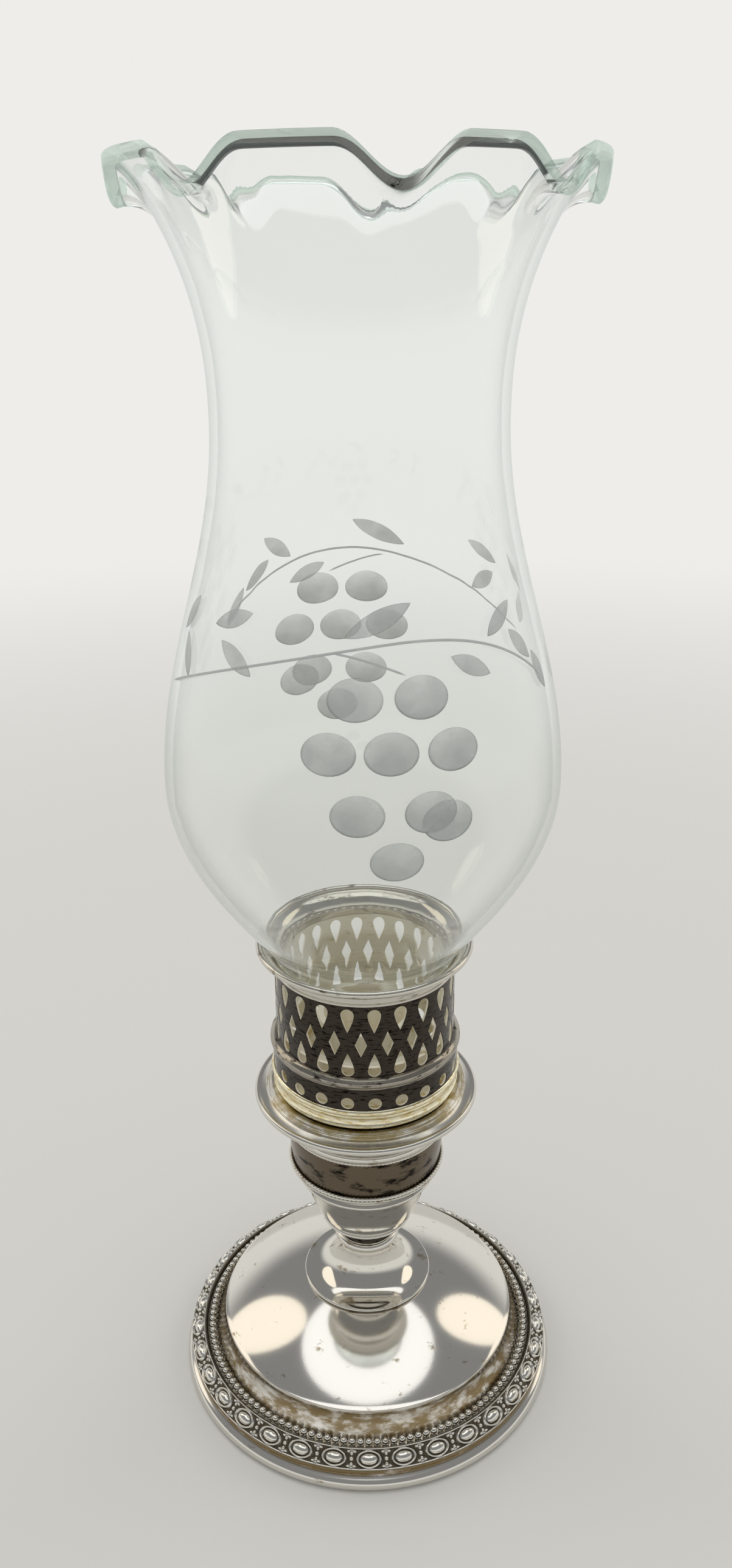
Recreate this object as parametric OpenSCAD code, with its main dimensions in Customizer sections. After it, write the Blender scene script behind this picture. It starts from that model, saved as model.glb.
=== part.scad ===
// Hurricane candle lantern: a weighted silver candlestick, a pierced gallery
// that lifts out of its candle socket, and a loose glass shade that stands in
// the gallery. Everything turns about the Z axis. Z = 0 is the table.

/* [Foot] */
// Diameter of the foot over its rolled edge
foot_d = 110; // [100:1:120]
// Thickness of the silver sheet
sheet = 0.8; // [0.6:0.1:1]
// Radius of the rolled edge of the foot
foot_roll_r = 1.9; // [1.7:0.1:2.1]
// Height of the hollow moulding between rolled edge and border
cove_h = 2.2; // [1.8:0.1:2.6]
// Rise of the oval border across its slope
border_rise = 3.6; // [3.2:0.1:4]
// Width of the oval border, seen from above
border_w = 4.2; // [3.8:0.1:4.6]
// Thickness of the border strip
border_t = 1; // [0.8:0.1:1.3]
// Number of ovals round the border
oval_count = 34; // [24:1:36]
// Length of one oval
oval_len = 6.8; // [6:0.1:8]
// Width of one oval across the border
oval_w = 4.2; // [3.6:0.1:4.8]
// Height of one oval over its strip
oval_h = 1; // [0.6:0.1:1.4]
// Diameter of one bead of the bead row
bead_d = 2.1; // [1.6:0.1:2.4]
// Height of the plain band from the bead row to the shoulder
side_band_h = 6.6; // [5:0.2:8]
// Slope of that band inwards
side_band_in = 2.8; // [2:0.1:3.6]
// Rise of the dome from the shoulder to the stem
dome_rise = 10.5; // [8:0.5:13]

/* [Stem] */
// Diameter of the round collar at the foot of the stem
collar_d = 37.4; // [34:0.2:40]
// Diameter of the neck at the top of the flare
neck_d = 15.4; // [14:0.2:17]
// Height of the flared stem
flare_h = 12.6; // [10:0.2:14]
// How far the ring above the flare stands out from the neck
ring_out = 1.7; // [1.4:0.1:2.4]
// Height of that ring
ring_h = 2.8; // [2.2:0.1:3.4]
// Height of the dark groove above the ring
groove_h = 3.4; // [2.6:0.1:4.2]
// Height of the lower bowl
bowl_h = 18.6; // [17:0.2:21]
// Diameter of the lower bowl at its foot
bowl_foot_d = 26; // [24:0.2:28]
// Diameter of the lower bowl at its top
bowl_top_d = 37.6; // [36.8:0.2:38.4]
// Height of the moulded lip round the bowl
lip_h = 5.2; // [4.4:0.2:6]

/* [Cup and tray] */
// Diameter of the cup at its top, and of the lip that it stands on
cup_d = 44.2; // [43:0.2:46]
// Height of the cup above the lip
cup_h = 13; // [11:0.5:16]
// How far the stepped ring under the tray stands out from the cup
step_out = 0.8; // [0.6:0.1:1.6]
// Height of the stepped ring
step_h = 2.2; // [1.6:0.1:3]
// How far the drip tray reaches beyond the gallery's gilt bead
tray_out = 5; // [4:0.2:7]
// Height from the stepped ring to the tray's edge
tray_h = 8; // [6:0.1:9]
// Radius of the tray's rolled edge
tray_roll_r = 1; // [0.8:0.1:1.2]
// Rise of the tray's middle over its edge
tray_middle_rise = 3.1; // [2.6:0.1:3.8]
// Radius of the bore of the candlestick's own socket
socket_bore_r = 11; // [10.8:0.1:11.4]
// Depth of that socket
socket_depth = 24; // [20:0.5:26]

/* [Core] */
// Diameter of the iron rod in the filling
rod_d = 4; // [3:0.5:5]
// Thickness of the bottom plate
plate_t = 0.8; // [0.6:0.1:1.2]
// Thickness of the felt pad
felt_t = 0.6; // [0.4:0.1:0.8]
// Width of the nut across its flats
nut_af = 8; // [7:0.5:10]

/* [Gallery] */
// Play between the shade's neck and the pierced wall
neck_play = 0.8; // [0.5:0.1:1.2]
// Height of the pierced wall
wall_h = 21.2; // [20:0.2:24]
// How far the rib stands out from the pierced wall
rib_out = 1.8; // [1.5:0.1:2.4]
// Height of the rib
rib_h = 2.8; // [2.2:0.1:3.4]
// How far the vent band with the round holes stands out
vent_out = 1.1; // [0.9:0.1:1.5]
// Height of the vent band
vent_h = 6.8; // [6:0.2:8]
// Height of the gilt base ring
base_ring_h = 6.2; // [5:0.2:7.4]
// How far the gilt bead at the top of the base ring stands out
gilt_out = 1.7; // [1.4:0.1:2.2]
// How far the flared rim reaches beyond the pierced wall
rim_out = 4.8; // [4:0.1:6]
// Height of the flare up to its rolled edge
rim_h = 6.8; // [5.4:0.2:8]
// Radius of the rim's rolled edge
rim_roll_r = 0.9; // [0.7:0.1:1.1]
// Number of columns of openings
columns = 22; // [18:1:24]
// Turn of the first column from the front, in degrees
column_turn = 5.5; // [0:0.5:16]
// Width of a drop-shaped opening
drop_w = 3.5; // [2.8:0.1:3.8]
// Length of a drop-shaped opening
drop_len = 7; // [6:0.1:7.2]
// Width of a diamond opening
diamond_w = 3.2; // [2.6:0.1:3.6]
// Length of a diamond opening
diamond_len = 7.4; // [6:0.1:7.8]
// Diameter of a vent hole
vent_hole_d = 3.4; // [2.6:0.1:4]
// Length of the peg
peg_len = 20; // [16:0.5:22]
// Radius of the bore that takes a candle
candle_bore_r = 11.3; // [11:0.1:11.6]
// Depth of that bore
candle_bore_depth = 17.6; // [14:0.2:18]
// Height of the shade ledge above the rib
ledge_up = 3; // [2:0.2:4]
// Thickness of the shade ledge
ledge_t = 0.8; // [0.6:0.1:1]

/* [Glass shade] */
// Diameter of the shade's neck, which stands in the gallery
shade_neck_d = 45.8; // [44.6:0.2:46]
// Length of the straight neck
shade_neck_h = 20; // [19:0.5:23]
// Largest diameter of the bulb
bulb_d = 100; // [92:1:106]
// Height from the neck to the widest place of the bulb
bulb_rise = 52.5; // [46:0.5:58]
// Diameter of the waist
waist_d = 69; // [64:1:76]
// Height from the widest place to the waist
waist_rise = 88.5; // [80:0.5:96]
// Height from the waist to the foot of the crimped lip
flare_rise = 37; // [32:1:42]
// Growth of the radius over that height
flare_out = 7.3; // [6:0.1:9]
// Diameter of the crimped lip
lip_edge_d = 104.4; // [98:0.2:106]
// Height of the lobes of the lip
lobe_h = 14.4; // [12:0.2:16]
// Height of the lip at a crimp
crimp_h = 5.8; // [4.4:0.2:8]
// Half width of a crimp, in degrees
crimp_half = 12; // [8:0.5:15]
// Thickness of the glass
glass_t = 2; // [1.6:0.1:2.4]
// Radius of the fire-polished edge
edge_r = 1.4; // [1.2:0.1:1.7]

/* [Clearances] */
// Gap between the gallery and the candlestick, and between shade and gallery
lift_gap = 0.3; // [0.2:0.05:0.4]
// Gap between the filling and what holds it
fill_gap = 0.1; // [0.05:0.05:0.2]

/* [Hidden] */
$fn = 96;

silver = "silver";
tarnished = "dimgray";
gilt = "goldenrod";
ivory_metal = "lemonchiffon";

// --- radii and heights worked out from the sizes above ---
foot_r = foot_d / 2;
foot_flat = 1.5;
cove_in = 0.7;
seat_z = 2 * foot_roll_r + cove_h;
seat_r = foot_r - 2.1;
seat_top = [seat_r - border_w, seat_z + border_rise];
seat_slope = atan2(border_rise, border_w);
seat_len = norm([border_w, border_rise]);
bead_r = bead_d / 2;
ledge_drop = 0.6;
bead_gap = 0.35;
bead_ring_r = seat_top.x - bead_gap - bead_r;
ledge_z = seat_top.y - ledge_drop;
bead_count = floor(2 * PI * bead_ring_r / (bead_d + 0.18));
band_foot = [bead_ring_r - bead_r - 0.3, ledge_z + 0.5];
shoulder_r = band_foot.x - side_band_in;
shoulder_z = band_foot.y + side_band_h;
dome_foot = [shoulder_r - 0.6, shoulder_z + 0.6];
collar_r = collar_d / 2;
dome_hole_r = collar_r - 2;
stem_z = dome_foot.y + dome_rise;
// centre of the sphere that the dome is cut from, on the axis
dome_centre_z = (pow(dome_hole_r, 2) + pow(stem_z - 0.1, 2) - pow(dome_foot.x, 2) - pow(dome_foot.y, 2))
    / (2 * (stem_z - 0.1 - dome_foot.y));
dome_r = norm([dome_foot.x, dome_foot.y - dome_centre_z]);

collar_t = 0.9;
neck_r = neck_d / 2;
ring_z = stem_z + flare_h;
ring_r = neck_r + ring_out;
groove_z = ring_z + ring_h;
groove_r = neck_r + 0.6;
bowl_z = groove_z + groove_h;
bowl_foot_r = bowl_foot_d / 2;
bowl_foot_rise = 3.4;
bowl_top_r = bowl_top_d / 2;
lip_z = bowl_z + bowl_h;
cup_r = cup_d / 2;
lip_r = cup_r;
lip_in = bowl_top_r - sheet - 0.6;
wire_r = 0.55;
cup_z = lip_z + lip_h;
cup_foot_r = lip_r - 1;
cup_in = cup_r - sheet - 0.4;
step_z = cup_z + cup_h;
step_r = cup_r + step_out;
tray_z = step_z + step_h;
wall_r = shade_neck_d / 2 + neck_play + sheet;
gilt_bead_r = wall_r + gilt_out;
tray_r = gilt_bead_r + tray_out;
tray_edge_z = tray_z + tray_h;
tray_top_z = tray_edge_z + tray_middle_rise;
liner_r = socket_bore_r + sheet;
liner_z = tray_top_z - socket_depth;
liner_floor = 0.8;

plate_z = felt_t + 0.2;
plate_r = foot_r - foot_roll_r - foot_flat - 0.3;
fill_z = plate_z + plate_t;
rod_r = rod_d / 2;
washer_r = nut_af;
washer_t = 1.2;
nut_t = 3;
washer_z = fill_z + 0.4 + nut_t;
rod_top = liner_z - liner_floor - 1.2;

// --- gallery ---
gallery_z = tray_top_z + lift_gap;
base_top = gallery_z + base_ring_h;
rib_z = base_top + vent_h;
wall_z = rib_z + rib_h;
rim_z = wall_z + wall_h;
rim_top = rim_z + rim_h;
wall_in = wall_r - sheet;
vent_r = wall_r + vent_out;
rib_r = wall_r + rib_out;
base_in = vent_r - 2.2;
floor_t = 1;
floor_z = gallery_z + 1.2;
socket_z = floor_z + floor_t;
socket_wall = 0.8;
candle_socket_r = candle_bore_r + socket_wall;
socket_floor = 1.6;
socket_top = socket_z + socket_floor + candle_bore_depth;
peg_r = socket_bore_r - lift_gap;
peg_z = floor_z - peg_len;
peg_tip = 2;
screw_r = 1.6;
screw_head_r = 3.2;
screw_head_h = 1.2;
ledge_z_top = wall_z + ledge_up;
ledge_in = shade_neck_d / 2 - glass_t - 0.3;
drop_row_low = wall_z + drop_len / 2 + 0.1;
diamond_row = wall_z + wall_h / 2 - 0.8;
drop_row_high = rim_z - drop_len / 2 - 0.9;
vent_row = base_top + vent_hole_d / 2 + 0.3;

// --- shade ---
shade_z = ledge_z_top + lift_gap;
neck_top = shade_z + shade_neck_h;
bulb_z = neck_top + bulb_rise;
waist_z = bulb_z + waist_rise;
lip_foot_z = waist_z + flare_rise;
lip_foot_r = waist_d / 2 + flare_out;
crimps = [9, 49, 95, 134, 176, 218, 265, 322];
segments = 72;

// --- outline helpers: an outline is a list of [radius, height] points ---
// points along an arc about centre c
function arc(c, r, from, to, n = 8) =
    [for (i = [0:n]) c + r * [cos(from + (to - from) * i / n), sin(from + (to - from) * i / n)]];
function reversed(p) = [for (i = [len(p) - 1:-1:0]) p[i]];
// unit vector to the right of the way from a to b
function side_of(a, b) = [b.y - a.y, a.x - b.x] / max(norm(b - a), 0.0001);
// the same outline, moved inwards by t
function inset(p, t) = [for (i = [0:len(p) - 1])
    p[i] - t * side_of(p[max(i - 1, 0)], p[min(i + 1, len(p) - 1)])];
// a sheet of thickness t behind an outline
module sheet_of(p, t = sheet) {
    rotate_extrude() polygon(concat(p, reversed(inset(p, t))));
}
// a solid between a bore and an outline
module filled(p, bore) {
    rotate_extrude() polygon(concat(p, [[bore, p[len(p) - 1].y], [bore, p[0].y]]));
}
module tube(r_out, r_in, z, h) {
    translate([0, 0, z]) difference() {
        cylinder(r = r_out, h = h);
        translate([0, 0, -1]) cylinder(r = r_in, h = h + 2);
    }
}
module disc(r, z, h) {
    translate([0, 0, z]) cylinder(r = r, h = h);
}
module round_wire(ring, r, z) {
    rotate_extrude() translate([ring, z]) circle(r = r, $fn = 32);
}

// --- foot ---
foot_edge = concat([[foot_r - foot_roll_r - foot_flat, 0]],
    arc([foot_r - foot_roll_r, foot_roll_r], foot_roll_r, -90, 70, 8));
band_line = [band_foot, band_foot + [-side_band_in * 0.55, side_band_h * 0.35],
    band_foot + [-side_band_in * 0.9, side_band_h * 0.75], [shoulder_r, shoulder_z],
    [shoulder_r - 0.15, shoulder_z + 0.4], dome_foot];
foot_upper = concat(
    [[foot_r - foot_roll_r - cove_in + 0.4, 2 * foot_roll_r + 0.5]],
    [[seat_r, seat_z], seat_top, [seat_top.x - 0.3, ledge_z]],
    [[bead_ring_r - bead_r + 0.1, ledge_z]], band_line);
dome = [for (i = [1:9]) let (r = dome_foot.x + (dome_hole_r - dome_foot.x) * i / 9)
    [r, dome_centre_z + sqrt(pow(dome_r, 2) - pow(r, 2))]];

module foot_shell() {
    color(silver) sheet_of(concat(foot_edge, foot_upper, dome));
}

// the strip lies on the sloping seat between two lines parallel to it
seat_out = [sin(seat_slope), cos(seat_slope)];
module oval_border() {
    low = [seat_r, seat_z] + 0.02 * seat_out;
    high = seat_top + 0.02 * seat_out;
    color(silver) rotate_extrude() polygon([low, low + border_t * seat_out + [0.1, -0.1],
        low + border_t * seat_out + [-0.4, 0.35], high + border_t * seat_out + [0.4, -0.35],
        high + border_t * seat_out, high]);
}

// a point of the border's upper face: turn about Z, distance up the slope, height over it
function on_border(turn, up, over) =
    let (p = [seat_r, seat_z] + (border_t + 0.02 + over) * seat_out
        + up * [-cos(seat_slope), sin(seat_slope)])
    [p.x * sin(turn), -p.x * cos(turn), p.y];
oval_sides = 16;
oval_lift = 0.04;
oval_mid_r = seat_r - border_w / 2;
function oval_ring(turn, grow, over) = [for (i = [0:oval_sides - 1])
    let (a = 360 * i / oval_sides)
    on_border(turn + oval_len / 2 * grow * cos(a) / oval_mid_r * 180 / PI,
        seat_len / 2 + oval_w / 2 * grow * sin(a), over)];
module oval(turn) {
    n = oval_sides;
    rings = [[1, oval_lift], [1, oval_h * 0.35], [0.78, oval_h * 0.85]];
    points = concat([for (g = rings) each oval_ring(turn, g[0], g[1])],
        [on_border(turn, seat_len / 2, oval_lift), on_border(turn, seat_len / 2, oval_h)]);
    sides = [for (k = [0:len(rings) - 2], i = [0:n - 1])
        [k * n + i, k * n + (i + 1) % n, (k + 1) * n + (i + 1) % n, (k + 1) * n + i]];
    foot_fan = [for (i = [0:n - 1]) [3 * n, (i + 1) % n, i]];
    top_fan = [for (i = [0:n - 1]) [3 * n + 1, 2 * n + i, 2 * n + (i + 1) % n]];
    polyhedron(points, concat(sides, foot_fan, top_fan));
}
module border_ovals() {
    color(silver) for (i = [0:oval_count - 1]) oval(360 * i / oval_count);
}

module bead_border() {
    color(silver) for (i = [0:bead_count - 1]) rotate([0, 0, 360 * i / bead_count])
        translate([0, -bead_ring_r, ledge_z + bead_r + 0.02]) sphere(r = bead_r, $fn = 24);
}

// the filling stops short of the border's seat and the ledge, and follows band and dome
module foot_filling() {
    rim_r = plate_r - 1;
    under_ledge = ledge_z - sheet - 2 * fill_gap;
    side_and_dome = inset(concat(band_line, dome), sheet + fill_gap);
    line = concat([[rim_r, fill_z + fill_gap], [rim_r, seat_z - 1]],
        [[seat_top.x - 0.5, under_ledge], [bead_ring_r - bead_r, under_ledge]], side_and_dome);
    color("tan") difference() {
        filled(line, rod_r + fill_gap);
        disc(washer_r + fill_gap, fill_z - 1, washer_z + washer_t - fill_z + 1 + fill_gap);
    }
}
module bottom_plate() {
    color("gray") disc(plate_r, plate_z, plate_t);
}
module felt_pad() {
    color("darkgreen") disc(plate_r - 0.5, plate_z - felt_t, felt_t);
}
module tie_rod() {
    color("gray") disc(rod_r, fill_z + 0.2, rod_top - fill_z - 0.2);
}
module rod_washer() {
    color("gray") tube(washer_r, rod_r + 0.05, washer_z, washer_t);
}
module rod_nut() {
    color("gray") difference() {
        translate([0, 0, washer_z - nut_t]) cylinder(d = nut_af / cos(30), h = nut_t, $fn = 6);
        disc(rod_r + 0.05, washer_z - nut_t - 1, nut_t + 2);
    }
}

// --- stem ---
flare_top = ring_z - 0.02;
collar_in = dome_hole_r - 0.8;
collar_edge = concat([[collar_in, stem_z + 0.02]],
    arc([collar_r - collar_t / 2, stem_z + 0.02 + collar_t / 2], collar_t / 2, -90, 90, 6));
flare_curve = concat([for (t = [10:10:90]) [collar_r - collar_t - (collar_r - collar_t - neck_r) * sin(t),
    stem_z + collar_t + 0.1 + (flare_h - collar_t - 1.2) * (1 - cos(t))]], [[neck_r, flare_top]]);
module flared_stem() {
    inner = [for (p = inset(flare_curve, sheet)) if (p.x < collar_in - 0.2) p];
    color(silver) rotate_extrude() polygon(concat(collar_edge, flare_curve, reversed(inner)));
}

module stem_ring() {
    r = ring_h / 2;
    line = concat([[neck_r - sheet, ring_z], [neck_r, ring_z]],
        arc([ring_r - r, ring_z + r], r, -80, 80, 8),
        [[groove_r, groove_z + 0.3], [groove_r - 0.2, groove_z + groove_h / 2],
        [groove_r, bowl_z - 0.3], [groove_r + 0.6, bowl_z - 0.02], [neck_r - sheet, bowl_z - 0.02]]);
    color(silver) rotate_extrude() polygon(line);
}

// above its rolled foot the bowl widens almost evenly, a little faster at first
bowl_curve_z = bowl_z + bowl_foot_rise + 1;
bowl_curve_r = bowl_foot_r + 0.4;
bowl_steps = 9;
bowl_edge_h = 0.6;
bowl_line = concat(
    [[neck_r - sheet, bowl_z], [groove_r + 0.6, bowl_z], [bowl_foot_r - 0.9, bowl_z + bowl_foot_rise - 1]],
    arc([bowl_foot_r - 0.6, bowl_z + bowl_foot_rise - 0.4], 0.6, -60, 80, 5),
    [for (i = [0:bowl_steps]) let (h = i / bowl_steps)
        [bowl_curve_r + (bowl_top_r - bowl_curve_r) * pow(h, 0.85),
        bowl_curve_z + (lip_z - bowl_edge_h - bowl_curve_z) * h]],
    [[bowl_top_r, lip_z - 0.02]]);
module lower_bowl() {
    color(silver) sheet_of(bowl_line);
}

// moulded lip: a small round below, then a slope that runs out to the edge
module bowl_lip() {
    round_r = 0.6;
    edge_t = 0.5;
    line = concat([[lip_in, lip_z], [bowl_top_r, lip_z]],
        arc([bowl_top_r + 0.5, lip_z + 0.7], round_r, -60, 70, 5),
        [[lip_r - 0.3, cup_z - edge_t - 0.3], [lip_r, cup_z - edge_t], [lip_r, cup_z - 0.02],
        [lip_in, cup_z - 0.02]]);
    color(silver) rotate_extrude() polygon(line);
}
module milled_wire() {
    color(silver) round_wire(cup_foot_r + wire_r + 0.08, wire_r, cup_z + wire_r);
}

module stem_filling() {
    foot_x = dome_hole_r - 3;
    lower = inset([for (p = flare_curve) if (p.x < foot_x) p], sheet + fill_gap);
    bowl_in = inset([for (p = bowl_line) if (p.y > bowl_curve_z - 0.1 && p.y < lip_z - bowl_edge_h - 0.1) p],
        sheet + fill_gap);
    neck = neck_r - sheet - fill_gap;
    throat = lip_in - fill_gap;
    color("tan") filled(concat([[foot_x, stem_z + 0.05]], lower,
        [[neck, flare_top], [neck, bowl_curve_z - 0.2]], bowl_in,
        [[throat, lip_z - 0.1], [throat, liner_z - liner_floor - 0.1]]), rod_r + fill_gap);
}

// --- cup, tray and socket ---
cup_line = [for (t = [0:15:90]) [cup_foot_r + (cup_r - cup_foot_r) * sin(t), cup_z + cup_h * t / 90]];
module candle_cup() {
    color(tarnished) sheet_of(cup_line);
}
module step_ring() {
    r = step_h / 2;
    color(silver) rotate_extrude() polygon(concat([[cup_in, step_z + 0.02], [cup_r, step_z + 0.02]],
        arc([step_r - r, step_z + r], r, -80, 80, 8), [[cup_r, tray_z - 0.02], [cup_in, tray_z - 0.02]]));
}
tray_middle_r = gilt_bead_r + 0.6;
tray_under = concat(
    [for (t = [0:15:90]) [cup_r + (tray_r - tray_roll_r - cup_r) * (1 - cos(t)),
        tray_z + (tray_h - tray_roll_r) * sin(t)]],
    arc([tray_r - tray_roll_r, tray_edge_z], tray_roll_r, -80, 80, 8));
tray_over = [[tray_r - tray_roll_r - 0.6, tray_edge_z + tray_roll_r - 0.25],
    [tray_middle_r + 1.6, tray_edge_z + tray_roll_r + 0.1],
    [tray_middle_r + 0.5, tray_edge_z + tray_middle_rise * 0.6],
    [tray_middle_r - 0.4, tray_top_z]];
module drip_tray() {
    line = concat([[cup_in, tray_z]], tray_under, tray_over,
        [[liner_r + 0.05, tray_top_z], [liner_r + 0.05, tray_top_z - sheet],
        [tray_middle_r - 2, tray_top_z - sheet], [tray_middle_r - 3, tray_edge_z - 1]],
        [[cup_in, tray_z + 1.4]]);
    color(silver) rotate_extrude() polygon(line);
}
module socket_liner() {
    color(ivory_metal) difference() {
        disc(liner_r, liner_z - liner_floor, socket_depth + liner_floor);
        disc(socket_bore_r, liner_z, socket_depth + 1);
    }
}
module cup_filling() {
    r = cup_foot_r - sheet - fill_gap - 0.1;
    low = liner_z - liner_floor;
    color("tan") tube(r, liner_r + fill_gap, low, tray_z - low - 0.1);
}

// --- gallery ---
module gallery_base() {
    bead = 1;
    line = concat([[base_in, gallery_z], [gilt_bead_r - 1.2, gallery_z],
        [gilt_bead_r - 0.7, gallery_z + 0.5], [gilt_bead_r - 0.7, gallery_z + 1.1]],
        arc([gilt_bead_r + 1, gallery_z + 2.7], 2, 225, 150, 5),
        [[gilt_bead_r - bead, base_top - 2 * bead]],
        arc([gilt_bead_r - bead, base_top - bead], bead, -80, 90, 8), [[base_in, base_top]]);
    color(gilt) rotate_extrude() polygon(line);
}
module gallery_floor() {
    color(ivory_metal) difference() {
        disc(base_in - 0.05, floor_z, floor_t);
        disc(screw_r + 0.05, floor_z - 1, floor_t + 2);
    }
}

// outline of an opening, pointing up: a round foot drawn out to a point
function drop_outline(w, length) = concat(
    [for (a = [180:20:360]) [w / 2 * cos(a), w / 2 - length / 2 + w / 2 * sin(a)]],
    [[w * 0.42, -length * 0.02], [w * 0.22, length * 0.27], [0, length / 2],
    [-w * 0.22, length * 0.27], [-w * 0.42, -length * 0.02]]);
diamond_outline = [[diamond_w / 2, 0], [0, diamond_len / 2], [-diamond_w / 2, 0], [0, -diamond_len / 2]];
// cuts an outline through the wall, seen from outside, at a height and a turn
module through_wall(turn, z, outline) {
    rotate([0, 0, turn]) translate([0, -wall_in + 2, z]) rotate([90, 0, 0])
        linear_extrude(height = vent_r - wall_in + 4) polygon(outline);
}
module pierced_wall() {
    step = 360 / columns;
    line = [[wall_in, rim_z], [wall_r, rim_z], [wall_r, wall_z], [rib_r - 0.4, wall_z - 0.5],
        [rib_r, wall_z - rib_h * 0.35], [rib_r, rib_z + rib_h * 0.3], [vent_r + 0.2, rib_z],
        [vent_r, rib_z - 0.3], [vent_r, base_top + 0.02], [vent_r - sheet, base_top + 0.02],
        [vent_r - sheet, rib_z - 0.2], [rib_r - sheet, rib_z + rib_h * 0.35],
        [rib_r - sheet, wall_z - rib_h * 0.45], [wall_in, wall_z - 0.5]];
    color(silver) difference() {
        rotate_extrude() polygon(line);
        for (turn = [column_turn:step:column_turn + 359]) {
            through_wall(turn, drop_row_low, drop_outline(drop_w, drop_len));
            through_wall(turn + step / 2, diamond_row, diamond_outline);
            through_wall(turn, drop_row_high, -drop_outline(drop_w, drop_len));
            rotate([0, 0, turn]) translate([0, 0, vent_row])
                rotate([90, 0, 0]) cylinder(d = vent_hole_d, h = rib_r + 2, $fn = 32);
        }
    }
}
module gallery_rim() {
    edge = [wall_r + rim_out - rim_roll_r, rim_top - rim_roll_r];
    foot = rim_z + 0.02;
    bend = rim_z + 1.2;
    line = concat([[wall_r, foot], [wall_r, foot + 0.3], [wall_r - 0.15, foot + 0.7], [wall_r, bend]],
        [for (t = [15:15:90]) [wall_r + (edge.x - wall_r) * (1 - cos(t)),
            bend + (rim_top - 2 * rim_roll_r - bend) * sin(t)]]);
    color(silver) union() {
        sheet_of(line);
        round_wire(edge.x, rim_roll_r, edge.y);
    }
}
module shade_ledge() {
    color(ivory_metal) tube(wall_in - 0.05, ledge_in, ledge_z_top - ledge_t, ledge_t);
}
module candle_socket() {
    lip = 1;
    color(ivory_metal) difference() {
        union() {
            disc(candle_socket_r, socket_z, socket_floor + candle_bore_depth);
            disc(candle_socket_r + lip, socket_top - 0.8, 0.8);
        }
        disc(candle_bore_r, socket_z + socket_floor, candle_bore_depth + 1);
        disc(screw_r + 0.05, socket_z - 1, socket_floor + 2);
        disc(screw_head_r + 0.05, socket_z + socket_floor - screw_head_h - 0.05, screw_head_h + 1);
    }
}
module socket_peg() {
    line = [[peg_r - peg_tip / 2, peg_z], [peg_r, peg_z + peg_tip], [peg_r, floor_z]];
    color("saddlebrown") filled(line, screw_r + 0.05);
}
// its head lies level with the floor of the candle socket
module peg_screw() {
    head_z = socket_z + socket_floor - screw_head_h - 0.03;
    color("gray") union() {
        disc(screw_head_r, head_z, screw_head_h);
        disc(screw_r, peg_z + 4, head_z - peg_z - 4 + 0.5);
    }
}

// --- glass shade: the outer outline, station by station, then its inner side ---
// how far the lip is crimped at a turn: 1 in a crimp, 0 on a lobe
function crimped(turn) = max([for (c = crimps)
    let (d = abs((turn - c + 540) % 360 - 180)) d < crimp_half ? pow(cos(90 * d / crimp_half), 2) : 0]);
function neck_line(n) = [for (i = [0:n - 1]) [shade_neck_d / 2, shade_z + shade_neck_h * i / n]];
function bulb_line(n) = [for (i = [0:n - 1])
    [shade_neck_d / 2 + (bulb_d - shade_neck_d) / 2 * pow(sin(90 * i / n), 1.1),
    neck_top + bulb_rise * i / n]];
function waist_line(n) = [for (i = [0:n - 1])
    [waist_d / 2 + (bulb_d - waist_d) / 4 * (1 + cos(180 * i / n)), bulb_z + waist_rise * i / n]];
function flare_up(n) = [for (i = [0:n])
    [waist_d / 2 + flare_out * pow(i / n, 2.3), waist_z + flare_rise * i / n]];
// the lip curls over harder in a crimp than on a lobe
function lip_line(turn, n) =
    let (c = crimped(turn), h = lobe_h + (crimp_h - lobe_h) * c, curl = 1.55 + 1.45 * c)
    [for (i = [1:n]) [lip_foot_r + (lip_edge_d / 2 - lip_foot_r) * i / n,
        lip_foot_z + h * (1 - pow(1 - i / n, curl))]];
function shade_outline(turn) =
    concat(neck_line(2), bulb_line(9), waist_line(7), flare_up(4), lip_line(turn, 4));
// the edge is a round a little thicker than the wall
function shade_edge(out) =
    let (e = out[len(out) - 1], b = out[len(out) - 2], along = (e - b) / norm(e - b),
        n = side_of(b, e), c = e - glass_t / 2 * n + along * 0.6)
    [c + edge_r * n, c + edge_r * along, c - edge_r * n];
function shade_section(turn) = let (out = shade_outline(turn))
    concat(out, shade_edge(out), reversed(inset(out, glass_t)));
module glass_shade() {
    sections = [for (s = [0:segments - 1]) shade_section(360 * s / segments)];
    m = len(sections[0]);
    points = [for (s = [0:segments - 1], p = sections[s]) let (a = 360 * s / segments)
        [p.x * sin(a), -p.x * cos(a), p.y]];
    faces = [for (s = [0:segments - 1], k = [0:m - 1]) let (t = (s + 1) % segments, j = (k + 1) % m)
        each [[s * m + k, s * m + j, t * m + j], [s * m + k, t * m + j, t * m + k]]];
    color([0.85, 0.93, 0.9, 0.4]) polyhedron(points, faces);
}

foot_shell();
oval_border();
border_ovals();
bead_border();
foot_filling();
bottom_plate();
felt_pad();
tie_rod();
rod_washer();
rod_nut();
flared_stem();
stem_ring();
lower_bowl();
bowl_lip();
milled_wire();
stem_filling();
candle_cup();
step_ring();
drip_tray();
socket_liner();
cup_filling();
gallery_base();
gallery_floor();
pierced_wall();
gallery_rim();
shade_ledge();
candle_socket();
socket_peg();
peg_screw();
glass_shade();
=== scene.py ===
# Hurricane candle lantern: a silver candlestick, a pierced gallery that lifts out of it and a
# crimped, wheel-cut glass shade that stands loose in the gallery.
# Sizes are in millimetres until a mesh is made. Z is the axis that everything turns about,
# Z = 0 is the table, and a turn is counted in degrees from the front (-Y) towards +X.
import math

import bmesh
import bpy
import numpy as np
from mathutils import Matrix


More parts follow.
